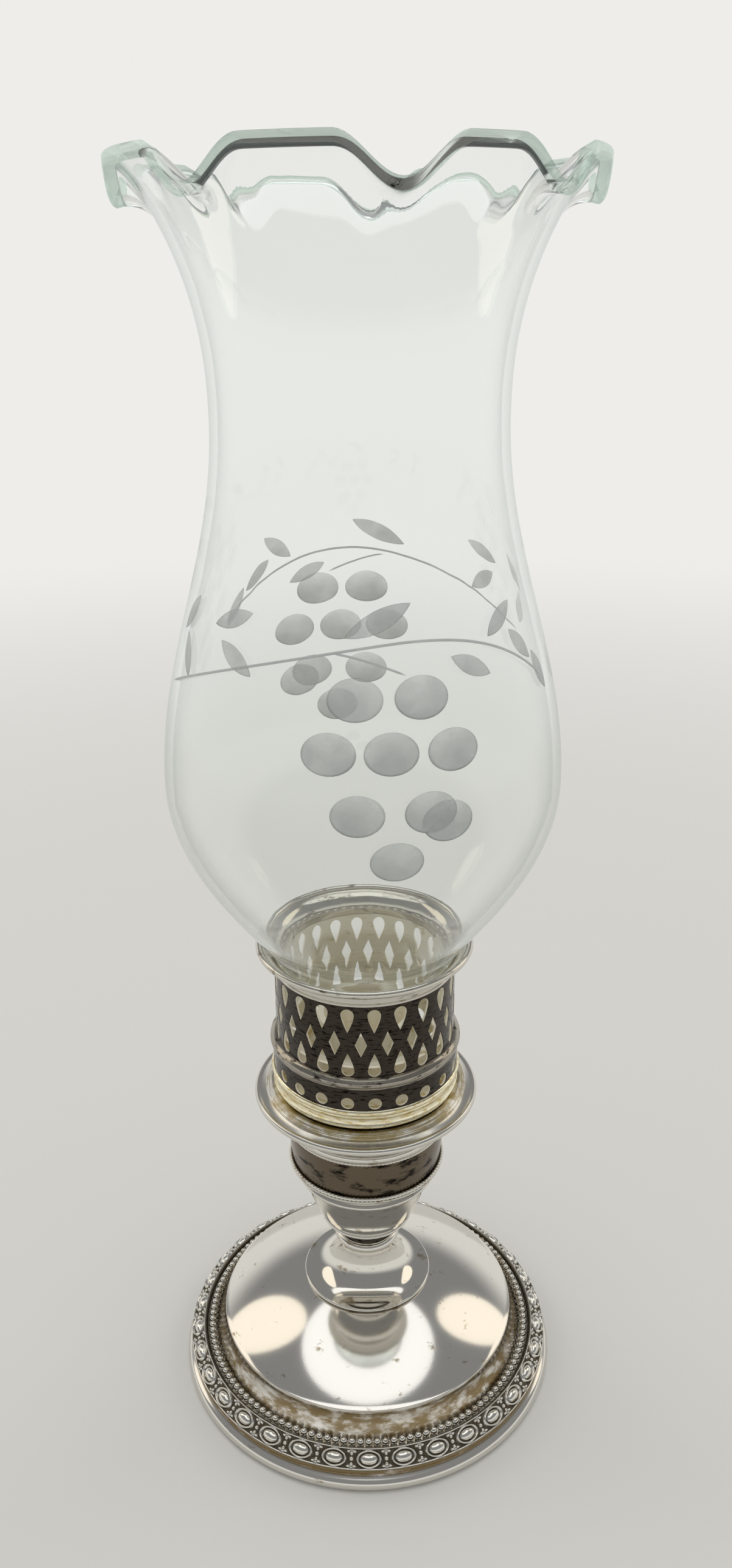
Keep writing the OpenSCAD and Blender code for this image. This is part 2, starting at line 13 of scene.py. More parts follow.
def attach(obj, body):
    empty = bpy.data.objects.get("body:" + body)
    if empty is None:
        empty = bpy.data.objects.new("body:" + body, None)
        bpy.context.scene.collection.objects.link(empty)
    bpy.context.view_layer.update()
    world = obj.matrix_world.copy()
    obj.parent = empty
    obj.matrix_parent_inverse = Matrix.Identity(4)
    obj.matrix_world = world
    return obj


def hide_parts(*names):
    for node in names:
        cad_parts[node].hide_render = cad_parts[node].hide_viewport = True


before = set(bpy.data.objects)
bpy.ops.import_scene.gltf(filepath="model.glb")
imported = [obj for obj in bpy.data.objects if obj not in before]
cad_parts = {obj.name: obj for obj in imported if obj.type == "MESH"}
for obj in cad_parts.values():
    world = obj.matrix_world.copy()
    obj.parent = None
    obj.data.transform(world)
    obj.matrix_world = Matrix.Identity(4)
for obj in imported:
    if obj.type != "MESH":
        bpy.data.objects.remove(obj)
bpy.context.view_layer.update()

MM = 0.001
SHEET = 0.8
# the least radius of a turned outline that closes on the axis
AXIS_R = 0.001
# how far apart two pieces stand that rest on each other
GAP = 0.02


# --- camera -----------------------------------------------------------------------------
CAMERA_PLACE = (0.0, -299.2, 307.8)
CAMERA_PITCH = 21.75
CAMERA_ROLL = -0.51
camera_data = bpy.data.cameras.new("camera")
camera_data.sensor_width = 36.0
camera_data.lens = 29.0
camera_data.shift_x = 0.0020
camera_data.shift_y = -0.0090
camera_data.clip_start = 0.01
camera = bpy.data.objects.new("camera", camera_data)
tilt = Matrix.Rotation(math.radians(90 - CAMERA_PITCH), 4, "X")
roll = Matrix.Rotation(math.radians(CAMERA_ROLL), 4, "Z")
camera.matrix_world = Matrix.Translation([c * MM for c in CAMERA_PLACE]) @ tilt @ roll
bpy.context.scene.collection.objects.link(camera)
bpy.context.scene.camera = camera


# --- shapes -----------------------------------------------------------------------------
def arc(centre, radius, start, end, steps=10):
    """Points on a circle about centre, from one angle to another, as rows of [radius, height]."""
    a = np.radians(np.linspace(start, end, steps + 1))
    return np.array(centre) + radius * np.stack([np.cos(a), np.sin(a)], 1)


def line_of(*parts):
    """Joins points and rows of points to one outline."""
    return np.vstack([np.atleast_2d(np.array(p, float)) for p in parts])


def softened(outline, reach=0.25):
    """A closed outline with each sharp corner drawn round: a quadratic curve from a point before
    the corner to one after it, and one more point on each side that holds the flat beside it."""
    before = np.roll(outline, 1, 0)
    after = np.roll(outline, -1, 0)
    points = []
    for a, p, b in zip(before, outline, after):
        u, v = p - a, b - p
        lu, lv = np.hypot(*u), np.hypot(*v)
        if lu < 1e-6 or lv < 1e-6:
            continue
        bend = math.degrees(math.acos(np.clip(u @ v / (lu * lv), -1, 1)))
        if bend < 22:
            points.append(p)
            continue
        d = min(reach, 0.3 * lu, 0.3 * lv)
        start, end = p - u / lu * d, p + v / lv * d
        t = np.linspace(0, 1, 5)[:, None]
        points.append(p - u / lu * d * 1.4)
        points.extend((1 - t) ** 2 * start + 2 * t * (1 - t) * p + t ** 2 * end)
        points.append(p + v / lv * d * 1.4)
    return np.array(points)


def inset(line, depth):
    """The line moved by depth to the left of its way: each point goes along its own normal."""
    way = np.gradient(line, axis=0)
    way /= np.maximum(np.hypot(way[:, 0], way[:, 1]), 1e-9)[:, None]
    return line + depth * np.stack([-way[:, 1], way[:, 0]], 1)


def around(radius, turn, height):
    """x, y, z of points at a radius, a turn in degrees and a height."""
    a = np.radians(turn)
    radius, a, height = np.broadcast_arrays(radius, a, height)
    return np.stack([radius * np.sin(a), -radius * np.cos(a), height], -1)


def piece(name, grids, finish, body, stands_for=(), weld=False, attribute=None):
    """Puts grids of points into one mesh. A grid is (points, close_u, close_v, material index)
    with points of shape (..., u, v, 3): each leading index is one more copy. Faces are quads
    between neighbours, and a closed side joins its last row to its first. attribute is a name
    and one number for each point, which the finish can read."""
    verts, faces, marks, start = [], [], [], 0
    for points, close_u, close_v, mark in grids:
        nu, nv = points.shape[-3:-1]
        copies = int(np.prod(points.shape[:-3]))
        flat = points.reshape(copies, nu, nv, 3)
        u = np.arange(nu if close_u else nu - 1)
        v = np.arange(nv if close_v else nv - 1)
        uu, vv = np.meshgrid(u, v, indexing="ij")
        u2, v2 = (uu + 1) % nu, (vv + 1) % nv
        quad = np.stack([uu * nv + vv, uu * nv + v2, u2 * nv + v2, u2 * nv + vv], -1).reshape(-1, 4)
        quads = (np.arange(copies)[:, None, None] * nu * nv + quad[None]).reshape(-1, 4) + start
        verts.append(flat.reshape(-1, 3))
        faces.append(quads)
        marks.append(np.full(len(quads), mark))
        start += copies * nu * nv
    verts, faces, marks = np.vstack(verts) * MM, np.vstack(faces), np.concatenate(marks)
    mesh = bpy.data.meshes.new(name)
    mesh.vertices.add(len(verts))
    mesh.vertices.foreach_set("co", verts.astype(np.float32).ravel())
    mesh.loops.add(faces.size)
    mesh.loops.foreach_set("vertex_index", faces.astype(np.int32).ravel())
    mesh.polygons.add(len(faces))
    mesh.polygons.foreach_set("loop_start", np.arange(0, faces.size, 4, dtype=np.int32))
    mesh.polygons.foreach_set("material_index", marks.astype(np.int32))
    mesh.polygons.foreach_set("use_smooth", np.ones(len(faces), bool))
    mesh.update(calc_edges=True)
    if attribute:
        layer = mesh.attributes.new(attribute[0], "FLOAT", "POINT")
        layer.data.foreach_set("value", attribute[1].astype(np.float32).ravel())
    if weld:
        bm = bmesh.new()
        bm.from_mesh(mesh)
        bmesh.ops.remove_doubles(bm, verts=bm.verts, dist=2e-6)
        bmesh.ops.dissolve_degenerate(bm, edges=bm.edges, dist=1e-7)
        bm.to_mesh(mesh)
        bm.free()
    mesh.validate()
    obj = bpy.data.objects.new(name, mesh)
    bpy.context.scene.collection.objects.link(obj)
    for material in finish if isinstance(finish, (list, tuple)) else [finish]:
        mesh.materials.append(material)
    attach(obj, body)
    if stands_for:
        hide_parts(*stands_for)
    return obj


def turned(name, outline, finish, body, stands_for, reach=0.25, turns=224):
    """A closed outline of [radius, height] carried round the Z axis, as on a lathe."""
    line = softened(outline, reach)
    r, z = line[:, 0], line[:, 1]
    if np.sum(r * np.roll(z, -1) - np.roll(r, -1) * z) < 0:
        line = line[::-1]
    turn = np.arange(turns) * 360 / turns
    points = around(line[None, :, 0], turn[:, None], line[None, :, 1])
    return piece(name, [(points[::-1], True, True, 0)], finish, body, stands_for)


# --- finishes ---------------------------------------------------------------------------
def srgb(code):
    """A colour written as sRGB hex, turned to linear light."""
    c = np.array([int(code[i:i + 2], 16) / 255 for i in (1, 3, 5)])
    lin = np.where(c <= 0.04045, c / 12.92, ((c + 0.055) / 1.055) ** 2.4)
    return (*[float(x) for x in lin], 1.0)


def add(tree, kind, settings=None, links=None):
    """Adds a node. links gives each input a value or the output that feeds it."""
    made = tree.nodes.new(kind)
    for key, value in (settings or {}).items():
        setattr(made, key, value)
    for key, value in (links or {}).items():
        if isinstance(value, bpy.types.NodeSocket):
            tree.links.new(value, made.inputs[key])
        else:
            made.inputs[key].default_value = value
    return made


def maths(tree, operation, *values, clamp=False):
    """One sum on values or outputs."""
    return add(tree, "ShaderNodeMath", {"operation": operation, "use_clamp": clamp},
               dict(enumerate(values))).outputs[0]


def soft_step(tree, value, low, high):
    """0 at low, 1 at high and a smooth curve between them."""
    return add(tree, "ShaderNodeMapRange", {"interpolation_type": "SMOOTHSTEP"}, {
        "Value": value, "From Min": low, "From Max": high}).outputs[0]


def blend(tree, share, first, second):
    """The first colour where share is 0, and the second where it is 1."""
    return add(tree, "ShaderNodeMix", {"data_type": "RGBA"}, {
        "Factor": share, "A": srgb(first), "B": srgb(second)}).outputs["Result"]


def blank(name):
    """A new material with its tree, its object coordinates and its output."""
    material = bpy.data.materials.new(name)
    material.use_nodes = True
    tree = material.node_tree
    tree.nodes.clear()
    out = add(tree, "ShaderNodeOutputMaterial")
    place = add(tree, "ShaderNodeTexCoord").outputs["Object"]
    return material, tree, place, out


def lathe_place(tree, place):
    """Coordinates (radius, 0, height): what is drawn with them runs in rings round the axis."""
    flat = add(tree, "ShaderNodeVectorMath", {"operation": "MULTIPLY"}, {0: place, 1: (1, 1, 0)})
    radius = add(tree, "ShaderNodeVectorMath", {"operation": "LENGTH"}, {0: flat.outputs[0]})
    parts = add(tree, "ShaderNodeSeparateXYZ", links={0: place})
    joined = add(tree, "ShaderNodeCombineXYZ",
                 links={0: radius.outputs["Value"], 2: parts.outputs[2]})
    return joined.outputs[0], parts.outputs[2]


def metal(name, clean, stain, cover, rough, patch_mm=5.0, squeeze=3.0, stain_rough=0.3,
          ring_depth=0.012, ring_mm=0.35, bands=(), ground=None, metallic=1.0):
    """Worked metal: clean colour and stain mixed by cloudy patches, which a squeeze draws out
    sideways, fine turning lines in rings, and handling scratches. cover is the share that is
    stained. Each band (low, high, soft, gain) in mm lays extra stain on a range of heights, and
    ground names an attribute that stains where it is low, as in the hollows of a relief."""
    material, tree, place, out = blank(name)
    rings, height = lathe_place(tree, place)
    stretched = add(tree, "ShaderNodeMapping", links={"Vector": place, "Scale": (1, 1, squeeze)})
    cloud = add(tree, "ShaderNodeTexNoise", links={
        "Vector": stretched.outputs[0], "Scale": 1 / (patch_mm * MM), "Detail": 8.0,
        "Roughness": 0.62})
    # the noise lies mostly between 0.3 and 0.7, and what is above the middle is stained
    middle = 0.76 - 0.5 * cover
    mask = soft_step(tree, cloud.outputs["Fac"], middle - 0.05, middle + 0.09)
    for low, high, soft, gain in bands:
        above = soft_step(tree, height, (low - soft) * MM, low * MM)
        below = soft_step(tree, height, (high + soft) * MM, high * MM)
        patchy = soft_step(tree, cloud.outputs["Fac"], 0.5 - gain, 0.78 - gain)
        band = maths(tree, "MULTIPLY", maths(tree, "MULTIPLY", above, below), patchy)
        mask = maths(tree, "MAXIMUM", mask, band)
    if ground:
        relief_height = add(tree, "ShaderNodeAttribute", {"attribute_name": ground})
        hollow = soft_step(tree, relief_height.outputs["Fac"], 0.45, 0.12)
        mask = maths(tree, "MAXIMUM", mask, hollow)
    wear = add(tree, "ShaderNodeMapRange", links={
        "Value": mask, "To Min": rough, "To Max": stain_rough})
    turning = add(tree, "ShaderNodeTexNoise", links={
        "Vector": rings, "Scale": 1 / (ring_mm * MM), "Detail": 2.0})
    scratch_place = add(tree, "ShaderNodeMapping", links={
        "Vector": place, "Scale": (1, 0.08, 1), "Rotation": (0.3, 0.2, 0.7)})
    scratches = add(tree, "ShaderNodeTexNoise", links={
        "Vector": scratch_place.outputs[0], "Scale": 2600.0, "Detail": 1.0})
    relief = maths(tree, "ADD", turning.outputs["Fac"], scratches.outputs["Fac"])
    bump = add(tree, "ShaderNodeBump", links={
        "Height": relief, "Strength": 0.5, "Distance": ring_depth * MM})
    shader = add(tree, "ShaderNodeBsdfPrincipled", links={
        "Base Color": blend(tree, mask, clean, stain), "Metallic": metallic,
        "Roughness": wear.outputs[0], "Normal": bump.outputs[0]})
    tree.links.new(shader.outputs[0], out.inputs[0])
    return material


# Silver, spun and hand polished: a mirror with a warm cast and brown tarnish left in places.
polished_silver = metal("polished_silver", "#DEDBD3", "#A2937A", 0.3, 0.08, patch_mm=6,
                        squeeze=2.5, stain_rough=0.24, ring_depth=0.003)
# The foot's side band was never rubbed clean: straw and brown sulphide over the silver.
foot_silver = metal("foot_silver", "#E0DDD6", "#8E7C5C", 0.2, 0.1, patch_mm=5, squeeze=2.6,
                    stain_rough=0.26, ring_depth=0.003,
                    bands=((10.2, 15.6, 1.2, 0.18), (4.3, 6.0, 0.5, 0.3)))
# Struck border, bright on its high places and dark in the ground.
border_silver = metal("border_silver", "#E6E3DB", "#635B4D", 0.12, 0.12, patch_mm=1.6, squeeze=1,
                      stain_rough=0.4, ring_depth=0.002, ground="relief")
# The cup is dark brown-grey all over with black streaks.
dark_cup_silver = metal("dark_brown_cup_silver", "#6C6152", "#17130F", 0.4, 0.2, patch_mm=7.5,
                   squeeze=2.6, stain_rough=0.45, ring_depth=0.004)
# The gallery's outside: painted reflection, silver coloured dark and brown to stand for a dark
# surround mirrored in it, with small black flecks along the turning.
gallery_silver = metal("gallery_silver", "#433D37", "#110E0B", 0.42, 0.14, patch_mm=2.4,
                       squeeze=5, stain_rough=0.4, ring_depth=0.004)
gallery_rim_silver = metal("gallery_rim_silver", "#D2CEC4", "#6F6552", 0.3, 0.1, patch_mm=5,
                           squeeze=4, stain_rough=0.3, ring_depth=0.003)
# The rib: the gallery's silver painted lighter than the wall, a painted highlight on its round top.
rib_painted_highlight_silver = metal("gallery_rib_painted_highlight", "#A39D92", "#3A332B", 0.36, 0.13, patch_mm=3,
                   squeeze=4, stain_rough=0.34, ring_depth=0.003)
# Gold wash, worn thin over turned silver.
worn_gilding = metal("worn_gilding", "#F3ECD0", "#CFB87C", 0.44, 0.17, patch_mm=3, squeeze=6,
                     stain_rough=0.28, ring_depth=0.02, ring_mm=0.3)
# Unpolished white metal with a yellow cast, left satin as it was turned.
ivory_metal = metal("ivory_white_metal", "#F6F0DF", "#D2C49B", 0.3, 0.36, patch_mm=4, squeeze=3,
                    stain_rough=0.45, ring_depth=0.01, metallic=0.15)
# The tray's face: brushed in rings, tan near the gallery.
tray_silver = metal("brushed_tray_silver", "#D8D5CD", "#A99A74", 0.1, 0.17, patch_mm=6,
                    squeeze=2, stain_rough=0.3, ring_depth=0.012, ring_mm=0.25,
                    bands=((94.5, 97.5, 0.5, 0.16),))
dark_groove = metal("blackened_silver", "#4A443B", "#120F0C", 0.5, 0.24, patch_mm=2.5, squeeze=3,
                    stain_rough=0.5, ring_depth=0.004)
plain_iron = metal("plain_iron", "#6B6966", "#4A3A2C", 0.35, 0.42, patch_mm=3, squeeze=1,
                   stain_rough=0.7, ring_depth=0.02)


GLASS_IOR = 1.52
# light that has turned more often than this goes straight on through the wall
MOST_TURNS_IN_GLASS = 4.5


def clear_glass():
    """Blown soda-lime glass: colourless, greener and darker where the wall is seen on the slant,
    which is the green of thick glass together with painted shade along the outline, and
    slightly wavy. Lamps shine through it, so that its shadow is pale, and light that the wall
    has caught and led along comes out again after a few turns."""
    material, tree, place, out = blank("blown_soda_lime_glass")
    drawn = add(tree, "ShaderNodeMapping", links={"Vector": place, "Scale": (1, 1, 0.35)})
    waves = add(tree, "ShaderNodeTexNoise", links={
        "Vector": drawn.outputs[0], "Scale": 70.0, "Detail": 2.0})
    bump = add(tree, "ShaderNodeBump", links={
        "Height": waves.outputs["Fac"], "Strength": 0.3, "Distance": 0.25 * MM})
    slant = add(tree, "ShaderNodeLayerWeight", links={"Blend": 0.12})
    # where the wall is seen on the slant it turns green, as thick glass does, and dark, as painted
    # shade along the outline
    slant_green_and_edge_shade = soft_step(tree, slant.outputs["Facing"], 0.15, 0.5)
    shader = add(tree, "ShaderNodeBsdfPrincipled", links={
        "Base Color": blend(tree, slant_green_and_edge_shade, "#FBFDFC", "#7A928B"), "Transmission Weight": 1.0,
        "Roughness": 0.0, "IOR": GLASS_IOR, "Normal": bump.outputs[0]})
    rays = add(tree, "ShaderNodeLightPath")
    caught = maths(tree, "GREATER_THAN", rays.outputs["Ray Depth"], MOST_TURNS_IN_GLASS)
    straight = maths(tree, "MAXIMUM", rays.outputs["Is Shadow Ray"], caught)
    open_glass = add(tree, "ShaderNodeBsdfTransparent", links={"Color": srgb("#FBFBFA")})
    lit = add(tree, "ShaderNodeMixShader", links={
        0: straight, 1: shader.outputs[0], 2: open_glass.outputs[0]})
    tree.links.new(lit.outputs[0], out.inputs[0])
    return material


def ground_glass(name, colour, alpha, bloom=None):
    """Glass cut with a stone wheel and left unpolished: a white bloom that lets light through.
    bloom names an attribute that makes the cut denser towards its lower side: painted shading of
    the cut's hollow."""
    material, tree, place, out = blank(name)
    grit = add(tree, "ShaderNodeTexNoise", links={"Vector": place, "Scale": 2500.0, "Detail": 3.0})
    swirl = add(tree, "ShaderNodeTexNoise", links={"Vector": place, "Scale": 160.0, "Detail": 2.0})
    body = add(tree, "ShaderNodeMapRange", links={
        "Value": swirl.outputs["Fac"], "From Min": 0.3, "From Max": 0.7,
        "To Min": alpha * 0.75, "To Max": min(1.0, alpha * 1.25)}).outputs[0]
    if bloom:
        # painted shading: the attribute thins the frost at the top of a cut and thickens it at the
        # bottom
        depth = add(tree, "ShaderNodeAttribute", {"attribute_name": bloom})
        body = maths(tree, "MULTIPLY", body, depth.outputs["Fac"])
    bump = add(tree, "ShaderNodeBump", links={
        "Height": grit.outputs["Fac"], "Strength": 0.4, "Distance": 0.02 * MM})
    shader = add(tree, "ShaderNodeBsdfPrincipled", links={
        "Base Color": srgb(colour), "Roughness": 0.5, "Alpha": body, "Normal": bump.outputs[0]})
    tree.links.new(shader.outputs[0], out.inputs[0])
    return material


def polished_edge():
    """The fire-polished edge: glass that would carry the light away down the wall, so a share of
    what lies behind shows straight through it, with the faint green of thick soda-lime glass."""
    material, tree, place, out = blank("fire_polished_edge")
    shader = add(tree, "ShaderNodeBsdfPrincipled", links={
        "Base Color": srgb("#F4FBF7"), "Transmission Weight": 1.0, "Roughness": 0.0,
        "IOR": GLASS_IOR})
    straight = add(tree, "ShaderNodeBsdfTransparent", links={"Color": srgb("#E8F1EC")})
    lit = add(tree, "ShaderNodeMixShader", links={
        0: 0.75, 1: shader.outputs[0], 2: straight.outputs[0]})
    tree.links.new(lit.outputs[0], out.inputs[0])
    return material


blown_glass = clear_glass()
edge_glass = polished_edge()
wheel_ground = ground_glass("wheel_ground_glass", "#C0C4C2", 0.8, bloom="painted_cut_shading")
wheel_line = ground_glass("wheel_cut_line", "#C4C8C6", 0.8)


def dull(name, light, dark, grain_mm, depth, rough):
    """A matt material with a grain of two colours."""
    material, tree, place, out = blank(name)
    grain = add(tree, "ShaderNodeTexNoise", links={
        "Vector": place, "Scale": 1 / (grain_mm * MM), "Detail": 6.0, "Roughness": 0.7})
    bump = add(tree, "ShaderNodeBump", links={
        "Height": grain.outputs["Fac"], "Strength": 0.7, "Distance": depth * MM})
    shader = add(tree, "ShaderNodeBsdfPrincipled", links={
        "Base Color": blend(tree, grain.outputs["Fac"], dark, light), "Roughness": rough,
        "Normal": bump.outputs[0]})
    tree.links.new(shader.outputs[0], out.inputs[0])
    return material


green_felt = dull("green_wool_felt", "#2F5A43", "#123021", 0.35, 0.15, 0.95)
cast_cement = dull("cast_cement", "#A59A88", "#6F6557", 1.2, 0.2, 0.9)
turned_beech = dull("turned_beech_peg", "#B98F62", "#7E5838", 1.5, 0.05, 0.6)

# --- candlestick ------------------------------------------------------------------------
STICK = "candlestick"
FOOT_R = 55.0
EDGE_ROLL = 1.9
SEAT_R, SEAT_Z = 52.9, 6.0
BORDER_W, BORDER_RISE, BORDER_T = 4.2, 3.6, 1.0
SEAT_TOP = np.array([SEAT_R - BORDER_W, SEAT_Z + BORDER_RISE])
BEAD_R = 1.05
BEAD_RING = SEAT_TOP[0] - 0.35 - BEAD_R
LEDGE_Z = SEAT_TOP[1] - 0.6
BAND_IN, BAND_H = 2.8, 6.6
BAND_FOOT = np.array([BEAD_RING - BEAD_R - 0.3, LEDGE_Z + 0.5])
SHOULDER = BAND_FOOT + [-BAND_IN, BAND_H]
DOME_FOOT = SHOULDER + [-0.6, 0.6]
COLLAR_R = 18.7
DOME_HOLE = COLLAR_R - 2.0
DOME_H = 10.5
STEM_Z = DOME_FOOT[1] + DOME_H
dome_centre = ((DOME_HOLE ** 2 + (STEM_Z - 0.1) ** 2 - DOME_FOOT[0] ** 2 - DOME_FOOT[1] ** 2)
               / (2 * (STEM_Z - 0.1 - DOME_FOOT[1])))
dome_radius = np.hypot(DOME_FOOT[0], DOME_FOOT[1] - dome_centre)

dome_r = np.linspace(DOME_FOOT[0], DOME_HOLE, 40)[1:]
dome_line = np.stack([dome_r, dome_centre + np.sqrt(dome_radius ** 2 - dome_r ** 2)], 1)
band_t = np.linspace(0, 1, 12)[1:]
band_line = BAND_FOOT + np.stack([-BAND_IN * np.sin(np.pi / 2 * band_t) ** 1.1,
                                  BAND_H * band_t], 1)
foot_line = line_of(
    [FOOT_R - EDGE_ROLL - 1.5, 0],
    arc([FOOT_R - EDGE_ROLL, EDGE_ROLL], EDGE_ROLL, -90, 70, 14),
    [FOOT_R - EDGE_ROLL - 0.3, 2 * EDGE_ROLL + 0.5],
    [SEAT_R, SEAT_Z], SEAT_TOP, [SEAT_TOP[0] - 0.3, LEDGE_Z],
    [BEAD_RING - BEAD_R + 0.1, LEDGE_Z], BAND_FOOT, band_line,
    [SHOULDER[0] - 0.15, SHOULDER[1] + 0.4], DOME_FOOT, dome_line)
turned("foot", line_of(foot_line, inset(foot_line, SHEET)[::-1]), foot_silver, STICK,
       ["foot_shell"], reach=0.3, turns=288)

# The struck border: 34 ovals, each a rim round a cabochon, with leaf sprays between them.
OVALS = 34
OVAL_A, OVAL_B = 3.3, 2.12
JEWEL_A, JEWEL_B, JEWEL_H = 2.4, 1.4, 1.1
seat_slope = math.atan2(BORDER_RISE, BORDER_W)
seat_length = math.hypot(BORDER_W, BORDER_RISE)
UNIT = 2 * math.pi * (SEAT_R - BORDER_W / 2) / OVALS


def bump_of(x, y, cx, cy, rx, ry, height):
    """A half ellipsoid on the plane: height times the root of one less the squared distance."""
    e = ((x - cx) / rx) ** 2 + ((y - cy) / ry) ** 2
    return height * np.sqrt(np.clip(1 - e, 0, None))


def border_relief(x, y):
    """Height over the strip at x along one unit and y across it, both from the oval's middle."""
    e = np.sqrt((x / OVAL_A) ** 2 + (y / OVAL_B) ** 2)
    rim = 0.95 * np.exp(-((e - 0.93) / 0.12) ** 2)
    jewel = bump_of(x, y, 0, 0, JEWEL_A, JEWEL_B, JEWEL_H)
    side = UNIT / 2 - np.abs(x)
    spray = np.maximum.reduce([
        bump_of(side, y, 0.0, 0.0, 0.62, 0.6, 0.6),
        bump_of(side, np.abs(y), 0.0, 1.25, 0.5, 0.55, 0.5),
        bump_of(side, np.abs(y), 0.85, 1.75, 0.6, 0.4, 0.5),
        bump_of(side, np.abs(y), 0.1, 2.1, 0.45, 0.32, 0.4)])
    wires = 0.5 * np.exp(-((np.abs(y) - 2.5) / 0.17) ** 2)
    return np.maximum.reduce([rim, jewel, spray, wires])


unit_x = np.linspace(-UNIT / 2, UNIT / 2, 56, endpoint=False)
across = np.linspace(-seat_length / 2, seat_length / 2, 34)
relief = border_relief(*np.meshgrid(unit_x, across, indexing="ij"))
over = BORDER_T + GAP + np.tile(relief, (OVALS, 1))
over[:, [0, -1]] = BORDER_T - 0.1
up = across + seat_length / 2
sin_s, cos_s = math.sin(seat_slope), math.cos(seat_slope)
border_turn = np.arange(OVALS)[:, None] * 360 / OVALS + unit_x[None, :] / UNIT * 360 / OVALS
border_turn = border_turn.ravel()
face_r = SEAT_R + over * sin_s - up[None, :] * cos_s
face_z = SEAT_Z + over * cos_s + up[None, :] * sin_s
under = np.full((len(border_turn), 2), GAP)
under_up = np.array([seat_length, 0.0])
under_r = SEAT_R + under * sin_s - under_up[None, :] * cos_s
under_z = SEAT_Z + under * cos_s + under_up[None, :] * sin_s
border_points = around(np.hstack([face_r, under_r]), border_turn[:, None],
                       np.hstack([face_z, under_z]))
border_height = np.hstack([np.tile(relief, (OVALS, 1)), np.zeros((len(border_turn), 2))])
piece("border", [(border_points[::-1], True, True, 0)], border_silver, STICK,
      ["oval_border", "border_ovals"], attribute=("relief", border_height[::-1]))


def balls(centres, radius, columns=12, rows=7):
    """A small ball at each centre, in rows of points from pole to pole."""
    v = np.radians(np.linspace(-90, 90, rows))
    u = np.radians(np.arange(columns) * 360 / columns)
    ball = radius * np.stack([np.cos(v)[None] * np.cos(u)[:, None],
                              np.cos(v)[None] * np.sin(u)[:, None],
                              np.broadcast_to(np.sin(v)[None], (columns, rows))], -1)
    return centres[:, None, None, :] + ball[None]


BEADS = 130
bead_turns = np.arange(BEADS) * 360 / BEADS
bead_centres = around(BEAD_RING, bead_turns, LEDGE_Z + BEAD_R + GAP)
piece("beads", [(balls(bead_centres, BEAD_R)[:, ::-1], True, False, 0)], polished_silver, STICK,
      ["bead_border"], weld=True)


def milled(name, ring, radius, height, count, finish, body, stands_for=()):
    """A wire ring pressed into beads: it is thick at each bead and thin between two."""
    turn = np.arange(count * 8) * 360 / (count * 8)
    swell = radius * (0.62 + 0.38 * np.abs(np.cos(np.radians(turn * count / 2))) ** 0.6)
    a = np.radians(np.arange(12) * 30)
    r = ring + swell[:, None] * np.cos(a)[None]
    z = height + swell[:, None] * np.sin(a)[None]
    rings = around(r, turn[:, None], z)[::-1]
    piece(name, [(rings, True, True, 0)], finish, body, stands_for)


# stem: a flared trumpet with a round collar, a ring and a dark groove
COLLAR_T = 0.9
NECK_R = 7.7
NECK_IN = NECK_R - SHEET
STEM_H = 12.6
RING_Z = STEM_Z + STEM_H
flare_t = np.radians(np.linspace(4, 90, 30))
flare_line = np.stack([
    COLLAR_R - COLLAR_T - (COLLAR_R - COLLAR_T - NECK_R) * np.sin(flare_t),
    STEM_Z + COLLAR_T + 0.1 + (STEM_H - COLLAR_T - 1.2) * (1 - np.cos(flare_t))], 1)
flare_line = line_of(flare_line, [NECK_R, RING_Z - GAP])
flare_in = inset(flare_line, SHEET)
flare_in = flare_in[flare_in[:, 0] < DOME_HOLE - 1.0]
turned("stem", line_of(
    [DOME_HOLE - 0.8, STEM_Z + GAP],
    arc([COLLAR_R - COLLAR_T / 2, STEM_Z + GAP + COLLAR_T / 2], COLLAR_T / 2, -90, 90, 8),
    flare_line, flare_in[::-1]), polished_silver, STICK, ["flared_stem"])

RING_R, RING_ROUND = 9.4, 1.4
GROOVE_Z = RING_Z + 2.8
GROOVE_R = NECK_R + 0.6
BOWL_Z = GROOVE_Z + 3.4
turned("stem_collar", line_of(
    [NECK_IN, RING_Z], [NECK_R, RING_Z],
    arc([RING_R - RING_ROUND, RING_Z + RING_ROUND], RING_ROUND, -80, 80, 12),
    [GROOVE_R, GROOVE_Z + 0.2],
    [GROOVE_R, GROOVE_Z + 0.3], [NECK_IN, GROOVE_Z + 0.3]),
    polished_silver, STICK, ["stem_ring"], reach=0.15)
turned("stem_groove", line_of(
    [NECK_IN, GROOVE_Z + 0.32], [GROOVE_R, GROOVE_Z + 0.32],
    [GROOVE_R - 0.2, GROOVE_Z + 1.7], [GROOVE_R, BOWL_Z - 0.3], [GROOVE_R + 0.6, BOWL_Z - GAP],
    [NECK_IN, BOWL_Z - GAP]), dark_groove, STICK, [], reach=0.15)

BOWL_FOOT_R, BOWL_TOP_R = 13.0, 18.8
LIP_Z = BOWL_Z + 18.6
bowl_curve_z = BOWL_Z + 4.4
bowl_h = np.linspace(0, 1, 26)
bowl_line = line_of(
    [NECK_IN, BOWL_Z], [GROOVE_R + 0.6, BOWL_Z], [BOWL_FOOT_R - 0.9, BOWL_Z + 2.4],
    arc([BOWL_FOOT_R - 0.6, BOWL_Z + 3.0], 0.6, -60, 80, 8),
    np.stack([BOWL_FOOT_R + 0.4 + (BOWL_TOP_R - BOWL_FOOT_R - 0.4) * bowl_h ** 0.85,
              bowl_curve_z + (LIP_Z - GAP - bowl_curve_z) * bowl_h], 1))
turned("lower_cup", line_of(bowl_line, inset(bowl_line, SHEET)[::-1]), polished_silver, STICK,
       ["lower_bowl"])

